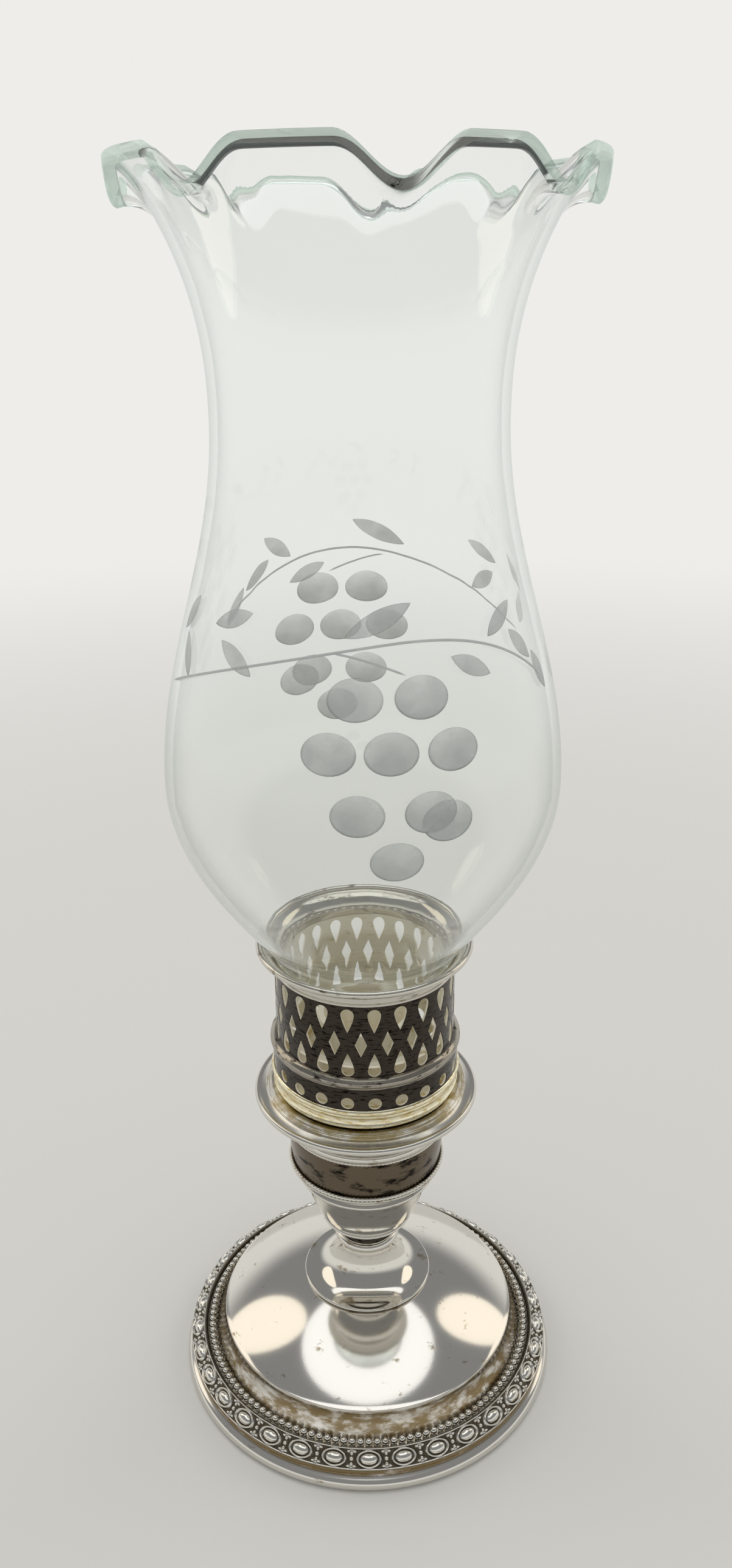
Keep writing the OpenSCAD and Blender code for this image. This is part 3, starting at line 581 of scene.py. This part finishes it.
LIP_R = 22.1
LIP_IN = BOWL_TOP_R - SHEET - 0.6
CUP_Z = LIP_Z + 5.2
turned("lip_moulding", line_of(
    [LIP_IN, LIP_Z], [BOWL_TOP_R, LIP_Z],
    arc([BOWL_TOP_R + 0.5, LIP_Z + 0.7], 0.6, -60, 70, 10),
    [LIP_R - 0.3, CUP_Z - 0.8], [LIP_R, CUP_Z - 0.5], [LIP_R, CUP_Z - GAP],
    [LIP_IN, CUP_Z - GAP]), polished_silver, STICK, ["bowl_lip"], reach=0.15)
CUP_FOOT_R = LIP_R - 1
milled("milled_edge", CUP_FOOT_R + 0.63, 0.6, CUP_Z + 0.55, 118, polished_silver, STICK,
       ["milled_wire"])

# cup, stepped ring and drip tray
CUP_R, CUP_H = 22.1, 13
STEP_R, STEP_ROUND = 22.9, 1.1
STEP_IN = CUP_R - SHEET - 0.4
STEP_Z = CUP_Z + CUP_H
cup_t = np.linspace(0, 90, 24)
cup_line = np.stack([CUP_FOOT_R + (CUP_R - CUP_FOOT_R) * np.sin(np.radians(cup_t)),
                     CUP_Z + CUP_H * cup_t / 90], 1)
turned("cup", line_of(cup_line, inset(cup_line, SHEET)[::-1]), dark_cup_silver, STICK,
       ["candle_cup"])
TRAY_Z = STEP_Z + 2.2
turned("step", line_of(
    [STEP_IN, STEP_Z + GAP], [CUP_R, STEP_Z + GAP],
    arc([STEP_R - STEP_ROUND, STEP_Z + STEP_ROUND], STEP_ROUND, -80, 80, 12),
    [CUP_R, TRAY_Z - GAP], [STEP_IN, TRAY_Z - GAP]), polished_silver, STICK,
    ["step_ring"], reach=0.12)
milled("step_beading", CUP_R + 0.2, 0.42, STEP_Z - 0.28, 128, polished_silver, STICK)
TRAY_R, TRAY_ROUND, TRAY_H = 31.2, 1, 8
TRAY_EDGE = TRAY_Z + TRAY_H
TRAY_TOP = TRAY_EDGE + 3.1
TRAY_MIDDLE = 26.8
LINER_R, LINER_BORE_R = 11.8, 11.0
tray_t = np.radians(np.linspace(0, 90, 22))
tray_under = np.stack([CUP_R + (TRAY_R - TRAY_ROUND - CUP_R) * (1 - np.cos(tray_t)),
                       TRAY_Z + (TRAY_H - TRAY_ROUND) * np.sin(tray_t)], 1)
tray_steps = [[TRAY_R - 1.6, TRAY_EDGE + 0.75], [TRAY_MIDDLE + 1.6, TRAY_EDGE + 1.1],
              [TRAY_MIDDLE + 1.1, TRAY_EDGE + 1.35], [TRAY_MIDDLE + 0.8, TRAY_EDGE + 1.75],
              [TRAY_MIDDLE + 0.45, TRAY_EDGE + 1.95], [TRAY_MIDDLE + 0.2, TRAY_EDGE + 2.4],
              [TRAY_MIDDLE - 0.1, TRAY_EDGE + 2.6], [TRAY_MIDDLE - 0.4, TRAY_TOP]]
turned("tray", line_of(
    [STEP_IN, TRAY_Z], tray_under,
    arc([TRAY_R - TRAY_ROUND, TRAY_EDGE], TRAY_ROUND, -80, 80, 12),
    tray_steps, [LINER_R + 0.05, TRAY_TOP], [LINER_R + 0.05, TRAY_TOP - SHEET],
    [TRAY_MIDDLE - 2, TRAY_TOP - SHEET], [TRAY_MIDDLE - 3, TRAY_EDGE - 1],
    [STEP_IN, TRAY_Z + 1.4]), tray_silver, STICK, ["drip_tray"], reach=0.12,
    turns=256)
LINER_DEPTH = 24
LINER_Z = TRAY_TOP - LINER_DEPTH
turned("stick_socket", line_of(
    [AXIS_R, LINER_Z - SHEET], [LINER_R, LINER_Z - SHEET], [LINER_R, TRAY_TOP],
    [LINER_BORE_R, TRAY_TOP], [LINER_BORE_R, LINER_Z], [AXIS_R, LINER_Z]), ivory_metal, STICK,
    ["socket_liner"], reach=0.12, turns=128)

# --- gallery ----------------------------------------------------------------------------
GALLERY = "gallery"
GALLERY_Z = TRAY_TOP + 0.3
BASE_TOP = GALLERY_Z + 6.2
RIB_Z = BASE_TOP + 6.8
WALL_Z = RIB_Z + 2.8
RIM_Z = WALL_Z + 21.2
RIM_H = 6.8
RIM_TOP = RIM_Z + RIM_H
WALL_R, VENT_R, RIB_R = 24.5, 25.6, 26.3
GILT_R = 26.2
BASE_IN = VENT_R - 2.2
turned("gilt_base", line_of(
    [BASE_IN, GALLERY_Z], [GILT_R - 1.2, GALLERY_Z], [GILT_R - 0.7, GALLERY_Z + 0.5],
    [GILT_R - 0.7, GALLERY_Z + 1.1], arc([GILT_R + 1, GALLERY_Z + 2.7], 2, 225, 150, 10),
    [GILT_R - 1, BASE_TOP - 2], arc([GILT_R - 1, BASE_TOP - 1], 1, -80, 90, 12),
    [BASE_IN, BASE_TOP]), worn_gilding, GALLERY, ["gallery_base"], reach=0.12, turns=256)

COLUMNS = 22
PITCH = 360 / COLUMNS
COLUMN_TURN = 5.5
ACROSS, UPRIGHT = 12, 10
MM_PER_DEGREE = math.radians(1) * WALL_R
# a hole's edge is drawn round over the first, and the flat beside it is held by the second
HOLE_ROUND, HOLE_HOLD = 0.13, 0.16


def drop_edge(width, length):
    """A drop with its point up: a half circle drawn out to a point, as [across, up] rows."""
    foot = arc([0, width / 2 - length / 2], width / 2, 180, 360, 16)
    t = np.linspace(0, 1, 12)[1:, None]
    low, pull, tip = np.array([[width / 2, foot[-1, 1]], [width * 0.47, 0], [0, length / 2]])
    right = (1 - t) ** 2 * low + 2 * t * (1 - t) * pull + t ** 2 * tip
    left = (right * [-1, 1])[::-1][1:]
    return line_of(foot, right, left)


def diamond_edge(width, length):
    """A lozenge, as [across, up] rows."""
    return np.array([[width / 2, 0], [0, length / 2], [-width / 2, 0], [0, -length / 2]])


def hole_towards(edge, targets):
    """Where the line from the hole's middle to each target crosses the hole's edge."""
    a, b = edge, np.roll(edge, -1, 0)
    d = targets / np.hypot(targets[:, 0], targets[:, 1])[:, None]
    s = b - a
    cross = d[:, None, 0] * s[None, :, 1] - d[:, None, 1] * s[None, :, 0]
    cross = np.where(np.abs(cross) < 1e-9, 1e-9, cross)
    far = (a[None, :, 0] * s[None, :, 1] - a[None, :, 1] * s[None, :, 0]) / cross
    along = (a[None, :, 0] * d[:, None, 1] - a[None, :, 1] * d[:, None, 0]) / cross
    good = (far > 0) & (along >= -1e-6) & (along <= 1 + 1e-6)
    reach = np.where(good, far, np.inf).min(1)
    return d * reach[:, None]


def wall_row(edge, middle_z, phase, low_z, high_z, radius):
    """One ring of openings. Round each hole lies a collar of quads that ends on the borders of
    its cell, and the borders of neighbouring cells share their points. low_z and high_z give a
    border's height at a share -1..1 across the cell."""
    half = PITCH / 2 * MM_PER_DEGREE
    x = np.linspace(-1, 1, ACROSS + 1)
    t = np.linspace(0, 1, UPRIGHT + 1)[:, None]
    bottom = np.stack([x * half, low_z(x) - middle_z], 1)
    top = np.stack([x * half, high_z(x) - middle_z], 1)
    right = bottom[-1] + t * (top[-1] - bottom[-1])
    left = bottom[0] + t * (top[0] - bottom[0])
    border = np.vstack([bottom[:-1], right[:-1], top[::-1][:-1], left[::-1][:-1]])
    hole = hole_towards(edge, border)
    gap = np.maximum(np.hypot(*(border - hole).T), 1e-6)[:, None]
    near = hole + (border - hole) * np.minimum(HOLE_HOLD / gap, 0.4)
    mid = hole + (border - hole) * 0.6
    rings = [(border, 0), (mid, 0), (near, 0), (hole, HOLE_ROUND), (hole, SHEET - HOLE_ROUND),
             (near, SHEET), (mid, SHEET), (border, SHEET)]
    flat = np.stack([p for p, _ in rings], 1)
    depth = np.array([q for _, q in rings])
    turn = COLUMN_TURN + phase * PITCH + np.arange(COLUMNS)[:, None, None] * PITCH
    turn = turn + flat[None, :, :, 0] / MM_PER_DEGREE
    return around(radius - depth[None, None, :], turn, middle_z + flat[None, :, :, 1])


VENT_LOW, VENT_HIGH = BASE_TOP + GAP, RIB_Z - 0.3


def level(z):
    """A border at one height."""
    return lambda x: np.full_like(x, z)


def zigzag(z, size):
    """A border that is size above z at the cell's middle and size below at its sides."""
    return lambda x: z + size * (1 - 2 * np.abs(x))


DROP_W, DROP_H = 3.5, 7.0
DIAMOND_W, DIAMOND_H = 3.2, 7.4
VENT_HOLE_R = 1.7
drop = drop_edge(DROP_W, DROP_H)
circle = arc([0, 0], VENT_HOLE_R, 0, 360, 48)[:-1]
low_drops = WALL_Z + 3.6
diamonds = WALL_Z + 9.8
high_drops = RIM_Z - 4.4
lower_zig = (low_drops + DROP_H / 2 + diamonds - DIAMOND_H / 2) / 2
upper_zig = (high_drops - DROP_H / 2 + diamonds + DIAMOND_H / 2) / 2
rows = [
    wall_row(circle, BASE_TOP + 2, 0, level(VENT_LOW), level(VENT_HIGH), VENT_R),
    wall_row(drop, low_drops, 0, level(WALL_Z), zigzag(lower_zig, 1.0), WALL_R),
    wall_row(diamond_edge(DIAMOND_W, DIAMOND_H), diamonds, 0.5, zigzag(lower_zig, -1.0),
             zigzag(upper_zig, 0.6), WALL_R),
    wall_row(-drop, high_drops, 0, zigzag(upper_zig, -0.6), level(RIM_Z), WALL_R)]
ring_turn = COLUMN_TURN - PITCH / 2 + np.arange(COLUMNS * ACROSS) * PITCH / ACROSS


def strip(line):
    """A band carried round, with its points at the same turns as the cells' borders."""
    line = np.array(line, float)
    return around(line[None, :, 0], ring_turn[:, None], line[None, :, 1])


rib_out = line_of([VENT_R, VENT_HIGH], [VENT_R + 0.05, RIB_Z - 0.1],
                  arc([RIB_R - 1.15, RIB_Z + 1.15], 1.15, -60, 62, 12),
                  [RIB_R - 0.85, WALL_Z - 0.35], [WALL_R + 0.35, WALL_Z - 0.1], [WALL_R, WALL_Z])
rib_in = line_of([WALL_R - SHEET, WALL_Z], [WALL_R - SHEET, WALL_Z - 0.5],
                 [RIB_R - SHEET, WALL_Z - 1.3], [RIB_R - SHEET, RIB_Z + 1.0],
                 [VENT_R - SHEET, RIB_Z - 0.2], [VENT_R - SHEET, VENT_HIGH])
wall_grids = []
for row in rows:
    wall_grids.append((row[:, :, :4], True, False, 0))
    wall_grids.append((row[:, :, 3:], True, False, 1))
wall_grids += [(strip(rib_out), True, False, 2), (strip(rib_in), True, False, 1),
               (strip([[WALL_R, RIM_Z], [WALL_R - SHEET, RIM_Z]]), True, False, 0),
               (strip([[VENT_R - SHEET, VENT_LOW], [VENT_R, VENT_LOW]]), True, False, 0)]
wall = piece("gallery_wall", wall_grids, [gallery_silver, ivory_metal, rib_painted_highlight_silver], GALLERY,
             ["pierced_wall"], weld=True)
wall_bm = bmesh.new()
wall_bm.from_mesh(wall.data)
bmesh.ops.recalc_face_normals(wall_bm, faces=wall_bm.faces)
SHARP = math.radians(38)
for edge in wall_bm.edges:
    if len(edge.link_faces) == 2 and edge.calc_face_angle(0) > SHARP:
        edge.smooth = False
wall_bm.to_mesh(wall.data)
wall_bm.free()

RIM_R, EDGE_ROUND = 29.3, 0.9
EDGE_R = RIM_R - EDGE_ROUND
rim_t = np.radians(np.linspace(0, 90, 20))[1:]
rim_line = line_of(
    [WALL_R, RIM_Z + GAP], [WALL_R + 0.45, RIM_Z + 0.25], [WALL_R + 0.45, RIM_Z + 0.75],
    [WALL_R, RIM_Z + 1.1],
    np.stack([WALL_R + (EDGE_R - WALL_R) * (1 - np.cos(rim_t)),
              RIM_Z + 1.2 + (RIM_H - 2 * EDGE_ROUND - 1.2) * np.sin(rim_t)], 1))
rim_inner = inset(rim_line[4:], SHEET)
turned("gallery_flare", line_of(
    rim_line, arc([EDGE_R, RIM_TOP - EDGE_ROUND], EDGE_ROUND, -80, 200, 18),
    rim_inner[::-1][2:], [WALL_R - SHEET, RIM_Z + 1.0], [WALL_R - SHEET, RIM_Z + GAP]),
    gallery_rim_silver, GALLERY, ["gallery_rim"], reach=0.15, turns=256)

LEDGE_IN, LEDGE_OUT, LEDGE_TOP = 20.6, WALL_R - SHEET - 0.05, WALL_Z + 3
turned("shade_seat", line_of(
    [LEDGE_IN, LEDGE_TOP - SHEET], [LEDGE_OUT, LEDGE_TOP - SHEET], [LEDGE_OUT, LEDGE_TOP],
    [LEDGE_IN, LEDGE_TOP]), ivory_metal, GALLERY, ["shade_ledge"], reach=0.15,
    turns=192)
CANDLE_R, CANDLE_DEPTH = 11.3, 17.6
SOCKET_R, SOCKET_LIP_R, SCREW_R, SCREW_HEAD_R = 12.1, 13.1, 1.65, 3.25
SOCKET_Z = GALLERY_Z + 2.2
SOCKET_FLOOR = SOCKET_Z + 1.6
SOCKET_TOP = SOCKET_FLOOR + CANDLE_DEPTH
turned("candle_holder", line_of(
    [SCREW_R, SOCKET_Z], [SOCKET_R, SOCKET_Z], [SOCKET_R, SOCKET_TOP - SHEET],
    [SOCKET_LIP_R, SOCKET_TOP - SHEET], [SOCKET_LIP_R, SOCKET_TOP], [CANDLE_R, SOCKET_TOP],
    [CANDLE_R, SOCKET_FLOOR], [SCREW_HEAD_R, SOCKET_FLOOR], [SCREW_HEAD_R, SOCKET_Z + 0.35],
    [SCREW_R, SOCKET_Z + 0.35]), ivory_metal, GALLERY, ["candle_socket"],
    reach=0.15, turns=160)

# --- glass shade ------------------------------------------------------------------------
SHADE = "shade"
SHADE_Z = LEDGE_TOP + 0.3
BULB_H, WAIST_H, FLARE_H = 52.5, 88.5, 37
NECK_TOP = SHADE_Z + 20
BULB_Z = NECK_TOP + BULB_H
WAIST_Z = BULB_Z + WAIST_H
FLARE_TOP = WAIST_Z + FLARE_H
SHADE_NECK_R, BULB_R, WAIST_R, FLARE_R, LIP_EDGE = 22.9, 50.0, 34.5, 41.8, 52.2
GLASS_T = 2.0
LIP_BEAD_R = 1.4
# how far the lip rises, what a crimp takes off that, and a crimp's half width and turns
LIP_RISE, CRIMP_DROP, CRIMP_HALF = 14.4, 7.6, 14
CRIMPS = np.array([9, 49, 95, 134, 176, 218, 265, 322])


def glass_radius(z):
    """Outer radius of the shade at a height: a straight neck, a bulb that swells with a sine, a
    cosine in to the waist, and a flare that grows with a power of the height."""
    z = np.asarray(z, float)
    swell = np.sin(np.pi / 2 * np.clip((z - NECK_TOP) / BULB_H, 0, 1)) ** 1.1
    bulb = SHADE_NECK_R + (BULB_R - SHADE_NECK_R) * swell
    fall = 1 + np.cos(np.pi * np.clip((z - BULB_Z) / WAIST_H, 0, 1))
    waist = WAIST_R + (BULB_R - WAIST_R) / 2 * fall
    flare = WAIST_R + (FLARE_R - WAIST_R) * np.clip((z - WAIST_Z) / FLARE_H, 0, None) ** 2.3
    return np.select([z < NECK_TOP, z < BULB_Z, z < WAIST_Z], [SHADE_NECK_R, bulb, waist], flare)


def crimp_at(turn):
    """How far the lip is pressed in: a squared cosine, 1 in the middle of a crimp."""
    d = np.abs((turn[:, None] - CRIMPS[None] + 540) % 360 - 180)
    return np.where(d < CRIMP_HALF, np.cos(np.radians(90 * d / CRIMP_HALF)) ** 2, 0).max(1)


SIDES = 320
glass_turn = np.arange(SIDES) * 360 / SIDES
crimp = crimp_at(glass_turn)[:, None]
lip_u = np.linspace(0, 1, 22)[1:]
lip_curve = 1 - (1 - lip_u[None]) ** (1.55 + 1.45 * crimp)
lip_height = (LIP_RISE - CRIMP_DROP * crimp) * lip_curve
lip_radius = np.broadcast_to(FLARE_R + (LIP_EDGE - FLARE_R) * lip_u[None], lip_height.shape)
body_z = np.concatenate([np.linspace(SHADE_Z, NECK_TOP, 10, endpoint=False),
                         NECK_TOP + BULB_H * np.linspace(0, 1, 44, endpoint=False) ** 1.5,
                         np.linspace(BULB_Z, WAIST_Z, 42, endpoint=False),
                         np.linspace(WAIST_Z, FLARE_TOP, 18)])
body_r = glass_radius(body_z)
outer = np.stack([np.hstack([np.tile(body_r, (SIDES, 1)), lip_radius]),
                  np.hstack([np.tile(body_z, (SIDES, 1)), FLARE_TOP + lip_height])], -1)
way = np.gradient(outer, axis=1)
way /= np.linalg.norm(way, axis=-1, keepdims=True)
out_n = np.stack([way[..., 1], -way[..., 0]], -1)
inner = outer - GLASS_T * out_n
end, end_way, end_n = outer[:, -1:], way[:, -1:], out_n[:, -1:]
bead_a = np.radians(np.linspace(75, -75, 9))[None, :, None]
bead_mid = end - GLASS_T / 2 * end_n + 0.6 * end_way
lip_bead = bead_mid + LIP_BEAD_R * (np.sin(bead_a) * end_n + np.cos(bead_a) * end_way)
foot_a = np.radians(np.linspace(-70, 70, 5))[None, :, None]
start, start_n, start_way = outer[:, :1], out_n[:, :1], way[:, :1]
foot_round = np.sin(foot_a) * start_n - np.cos(foot_a) * start_way
foot_bead = start + GLASS_T / 2 * (foot_round - start_n)
foot_bead[..., 1] += GLASS_T / 2
sections = np.concatenate([outer[:, 2:-1], lip_bead, inner[:, ::-1][:, 1:-2], foot_bead], 1)
glass_points = around(sections[..., 0], glass_turn[:, None], sections[..., 1])[::-1]
# the polished edge: the bead and two rows of the wall on each side of it
edge_from = len(body_z) + len(lip_u) - 5
edge_to = edge_from + lip_bead.shape[1] + 4
wall_points = np.concatenate([glass_points[:, edge_to - 1:], glass_points[:, :edge_from + 1]], 1)
piece("shade_glass", [(wall_points, True, False, 0),
                      (glass_points[:, edge_from:edge_to], True, False, 1)],
      [blown_glass, edge_glass], SHADE, ["glass_shade"], weld=True)

# --- wheel cutting: the same spray of vine, grapes and leaves, cut twice ------------------
PROUD = 0.05


def on_glass(turn, z, over):
    """A point of the outer face, lifted by over along the radius."""
    return around(glass_radius(z) + over, turn, z)


def cut_patch(turn, z, half_across, half_up, lean, shape, rows_n=9, sides=32):
    """A shallow lens on the glass, shape 1 for an oval and less for a leaf with two points. Its
    two faces meet at the rim. Also gives a share of painted shading, which grows downwards, and
    less so in a leaf: the frost is made denser towards the cut's lower side."""
    a = np.radians(np.arange(sides) * 360 / sides)
    x, y = np.cos(a), np.sin(a) * np.abs(np.sin(a)) ** (1 / shape - 1)
    k = np.concatenate([np.linspace(0, 1, rows_n), np.linspace(1, 0, rows_n)[1:]])
    lift = np.concatenate([PROUD * (1 - np.linspace(0, 1, rows_n) ** 2) + 0.02,
                           np.full(rows_n - 1, 0.01)])
    px, py = x[:, None] * k * half_across, y[:, None] * k * half_up
    c, s = math.cos(math.radians(lean)), math.sin(math.radians(lean))
    gx, gy = px * c - py * s, px * s + py * c
    per_degree = math.radians(1) * float(glass_radius(z))
    steep = math.cos(math.atan(float(glass_radius(z + 0.5) - glass_radius(z - 0.5))))
    # painted shading of the hollow: the frost is denser towards the cut's lower side
    depth = 0.62 - 0.38 * gy / max(half_across, half_up) * (1.0 if shape == 1 else 0.4)
    return on_glass(turn + gx / per_degree, z + gy * steep, np.broadcast_to(lift, gx.shape)), depth


def cut_line(turns, heights, width):
    """A fine groove drawn along the glass: a flat band with a rounded back and pointed ends."""
    n = len(turns)
    taper = np.clip(np.minimum(np.arange(n), np.arange(n)[::-1]) / 4, 0, 1)
    r = glass_radius(heights)
    path = np.stack([np.radians(turns) * r, heights], 1)
    way_p = np.gradient(path, axis=0)
    way_p /= np.linalg.norm(way_p, axis=1, keepdims=True)
    side = np.stack([-way_p[:, 1], way_p[:, 0]], 1)
    a = np.radians(np.arange(8) * 45 + 22.5)
    w = width / 2 * taper[:, None] * np.cos(a)[None]
    up = 0.07 + 0.06 * taper[:, None] * np.sin(a)[None]
    turn = turns[:, None] + np.degrees(side[:, :1] * w / r[:, None])
    return on_glass(turn, heights[:, None] + side[:, 1:] * w, up)


# turn and height from the middle of the spray
GRAPES = [(-17, -11.5), (1.5, -11.5), (-24, -23.0), (-7.5, -23.0), (9.5, -23.3), (-16.5, -36.5),
          (2.5, -36.5), (7, -39.0), (-6.5, -47.6)]
GRAPE_WIDE, GRAPE_HIGH = 6.1, 4.8
# turn and height, half the length and the width, and the lean
LEAVES = [(-10, 4.5, 8.0, 2.3, 26), (-58, 2.6, 6.0, 2.0, 20), (-55, -5.5, 6.0, 2.1, -32),
          (-83, 0.6, 5.6, 1.9, 55), (-80, -8.5, 5.6, 1.9, -62), (18, -6.5, 5.6, 2.1, -28),
          (32, 1.8, 5.6, 2.0, 35), (40, -5.0, 5.2, 1.9, -50), (49, -12.5, 5.6, 2.0, -66)]
VINE_W, TWIG_W = 0.62, 0.5
OVAL, LEAF = 1.0, 0.55
RIGHT_REACH = 52
TWIG_FROM, TWIG_TO = -24, -2.5
patches, cut_shading_shares, lines = [], [], []
for spray_turn, spray_top, left_reach, shift in ((15, 233.7, 90, 0), (183, 237.5, 72, 12)):
    vine = np.linspace(-left_reach, RIGHT_REACH, 150)
    fall = np.where(vine < 0, 17 * np.abs(vine / left_reach) ** 1.6,
                    15.5 * np.abs(vine / RIGHT_REACH) ** 2.3)
    lines.append(cut_line(spray_turn + vine, spray_top - fall, VINE_W))
    twig = np.linspace(TWIG_FROM, TWIG_TO, 40)
    droop = 2 + 4.8 * ((twig - TWIG_FROM) / (TWIG_TO - TWIG_FROM)) ** 1.5
    lines.append(cut_line(spray_turn + shift + twig, spray_top - droop, TWIG_W))
    cuts = [(spray_turn + shift + turn, spray_top + up, GRAPE_WIDE, GRAPE_HIGH, 0, OVAL)
            for turn, up in GRAPES]
    cuts += [(spray_turn + turn, spray_top + up, half_long, half_wide, lean, LEAF)
             for turn, up, half_long, half_wide, lean in LEAVES]
    for cut in cuts:
        patch, depth = cut_patch(*cut)
        patches.append(patch)
        cut_shading_shares.append(depth)
piece("cut_grapes", [(np.stack(patches), True, False, 0)], wheel_ground, SHADE,
      weld=True, attribute=("painted_cut_shading", np.stack(cut_shading_shares)))
piece("cut_vine", [(line, False, True, 0) for line in lines], wheel_line, SHADE,
      weld=True)

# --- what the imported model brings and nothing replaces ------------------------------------
carried = {"foot_filling": cast_cement, "stem_filling": cast_cement, "cup_filling": cast_cement,
           "bottom_plate": plain_iron, "tie_rod": plain_iron, "rod_washer": plain_iron,
           "rod_nut": plain_iron, "peg_screw": plain_iron, "felt_pad": green_felt,
           "socket_peg": turned_beech, "gallery_floor": ivory_metal}
for node_name, material in carried.items():
    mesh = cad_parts[node_name].data
    mesh.materials.clear()
    mesh.materials.append(material)

# --- floor, lamps and world ---------------------------------------------------------------
FLOOR_HALF = 4.0
PALE = "#EEEDEA"
floor_mesh = bpy.data.meshes.new("floor")
floor_mesh.from_pydata([(x * FLOOR_HALF, y * FLOOR_HALF, 0) for x, y in
                        ((-1, -1), (1, -1), (1, 1), (-1, 1))], [], [(0, 1, 2, 3)])
floor = bpy.data.objects.new("floor", floor_mesh)
bpy.context.scene.collection.objects.link(floor)
floor_paper, floor_tree, floor_place, floor_out = blank("pale_studio_paper")
paper = add(floor_tree, "ShaderNodeBsdfPrincipled", links={
    "Base Color": srgb("#E4E3E0"), "Roughness": 0.9, "Specular IOR Level": 0.1})
glow = add(floor_tree, "ShaderNodeEmission", links={"Color": srgb(PALE), "Strength": 1.0})
distance = add(floor_tree, "ShaderNodeVectorMath", {"operation": "LENGTH"}, {0: floor_place})
# away from the lantern the paper is as pale as the sky, so that no edge shows
far_off = soft_step(floor_tree, distance.outputs["Value"], 0.25, 1.2)
floor_mix = add(floor_tree, "ShaderNodeMixShader", links={
    0: far_off, 1: paper.outputs[0], 2: glow.outputs[0]})
floor_tree.links.new(floor_mix.outputs[0], floor_out.inputs[0])
floor_mesh.materials.append(floor_paper)

world = bpy.data.worlds.new("studio")
world.use_nodes = True
world_tree = world.node_tree
world_tree.nodes.clear()
sky_way = add(world_tree, "ShaderNodeSeparateXYZ", links={
    0: add(world_tree, "ShaderNodeTexCoord").outputs["Generated"]})
sky_height = soft_step(world_tree, sky_way.outputs[2], 0.2, 0.46)
rays = add(world_tree, "ShaderNodeLightPath").outputs
# only metal mirrors the grey of the upper sky, and glass looks through to a little of it
mirrored = maths(world_tree, "MULTIPLY_ADD", rays["Is Transmission Ray"], 0.25,
                 rays["Is Glossy Ray"])
sky_share = maths(world_tree, "MULTIPLY", sky_height, mirrored, clamp=True)
sky = blend(world_tree, sky_share, PALE, "#8E8F90")
seen = maths(world_tree, "MAXIMUM", rays["Is Camera Ray"], rays["Is Glossy Ray"])
seen = maths(world_tree, "MAXIMUM", seen, rays["Is Transmission Ray"])
show = add(world_tree, "ShaderNodeBackground", links={"Color": sky, "Strength": 1.0})
light = add(world_tree, "ShaderNodeBackground", links={"Color": srgb("#F4F4F2"), "Strength": 0.6})
world_mix = add(world_tree, "ShaderNodeMixShader", links={
    0: seen, 1: light.outputs[0], 2: show.outputs[0]})
add(world_tree, "ShaderNodeOutputWorld", links={"Surface": world_mix.outputs[0]})
bpy.context.scene.world = world


def soft_box(name, place, aim, width, height, watts, colour="#FFFFFF"):
    """A flat, round-edged lamp at place that faces aim."""
    data = bpy.data.lights.new(name, "AREA")
    data.shape = "ELLIPSE"
    data.size, data.size_y, data.energy = width, height, watts
    data.color = srgb(colour)[:3]
    lamp = bpy.data.objects.new(name, data)
    gap = np.array(aim) - np.array(place)
    flat = math.hypot(gap[0], gap[1])
    lamp.rotation_euler = (math.atan2(flat, -gap[2]), 0, math.atan2(-gap[0], gap[1]))
    lamp.location = place
    bpy.context.scene.collection.objects.link(lamp)


WARM = "#FFF4E2"
soft_box("lamp_above", (0.0, 0.1, 1.3), (0, 0, 0.1), 1.36, 1.3, 4.6)
soft_box("window_left", (-0.82, 0.47, 0.85), (0, 0, 0.05), 0.54, 0.84, 1.2, WARM)
soft_box("window_right", (0.82, 0.5, 0.8), (0, 0, 0.05), 0.47, 0.72, 0.9, WARM)

bpy.context.scene.view_settings.view_transform = "Standard"
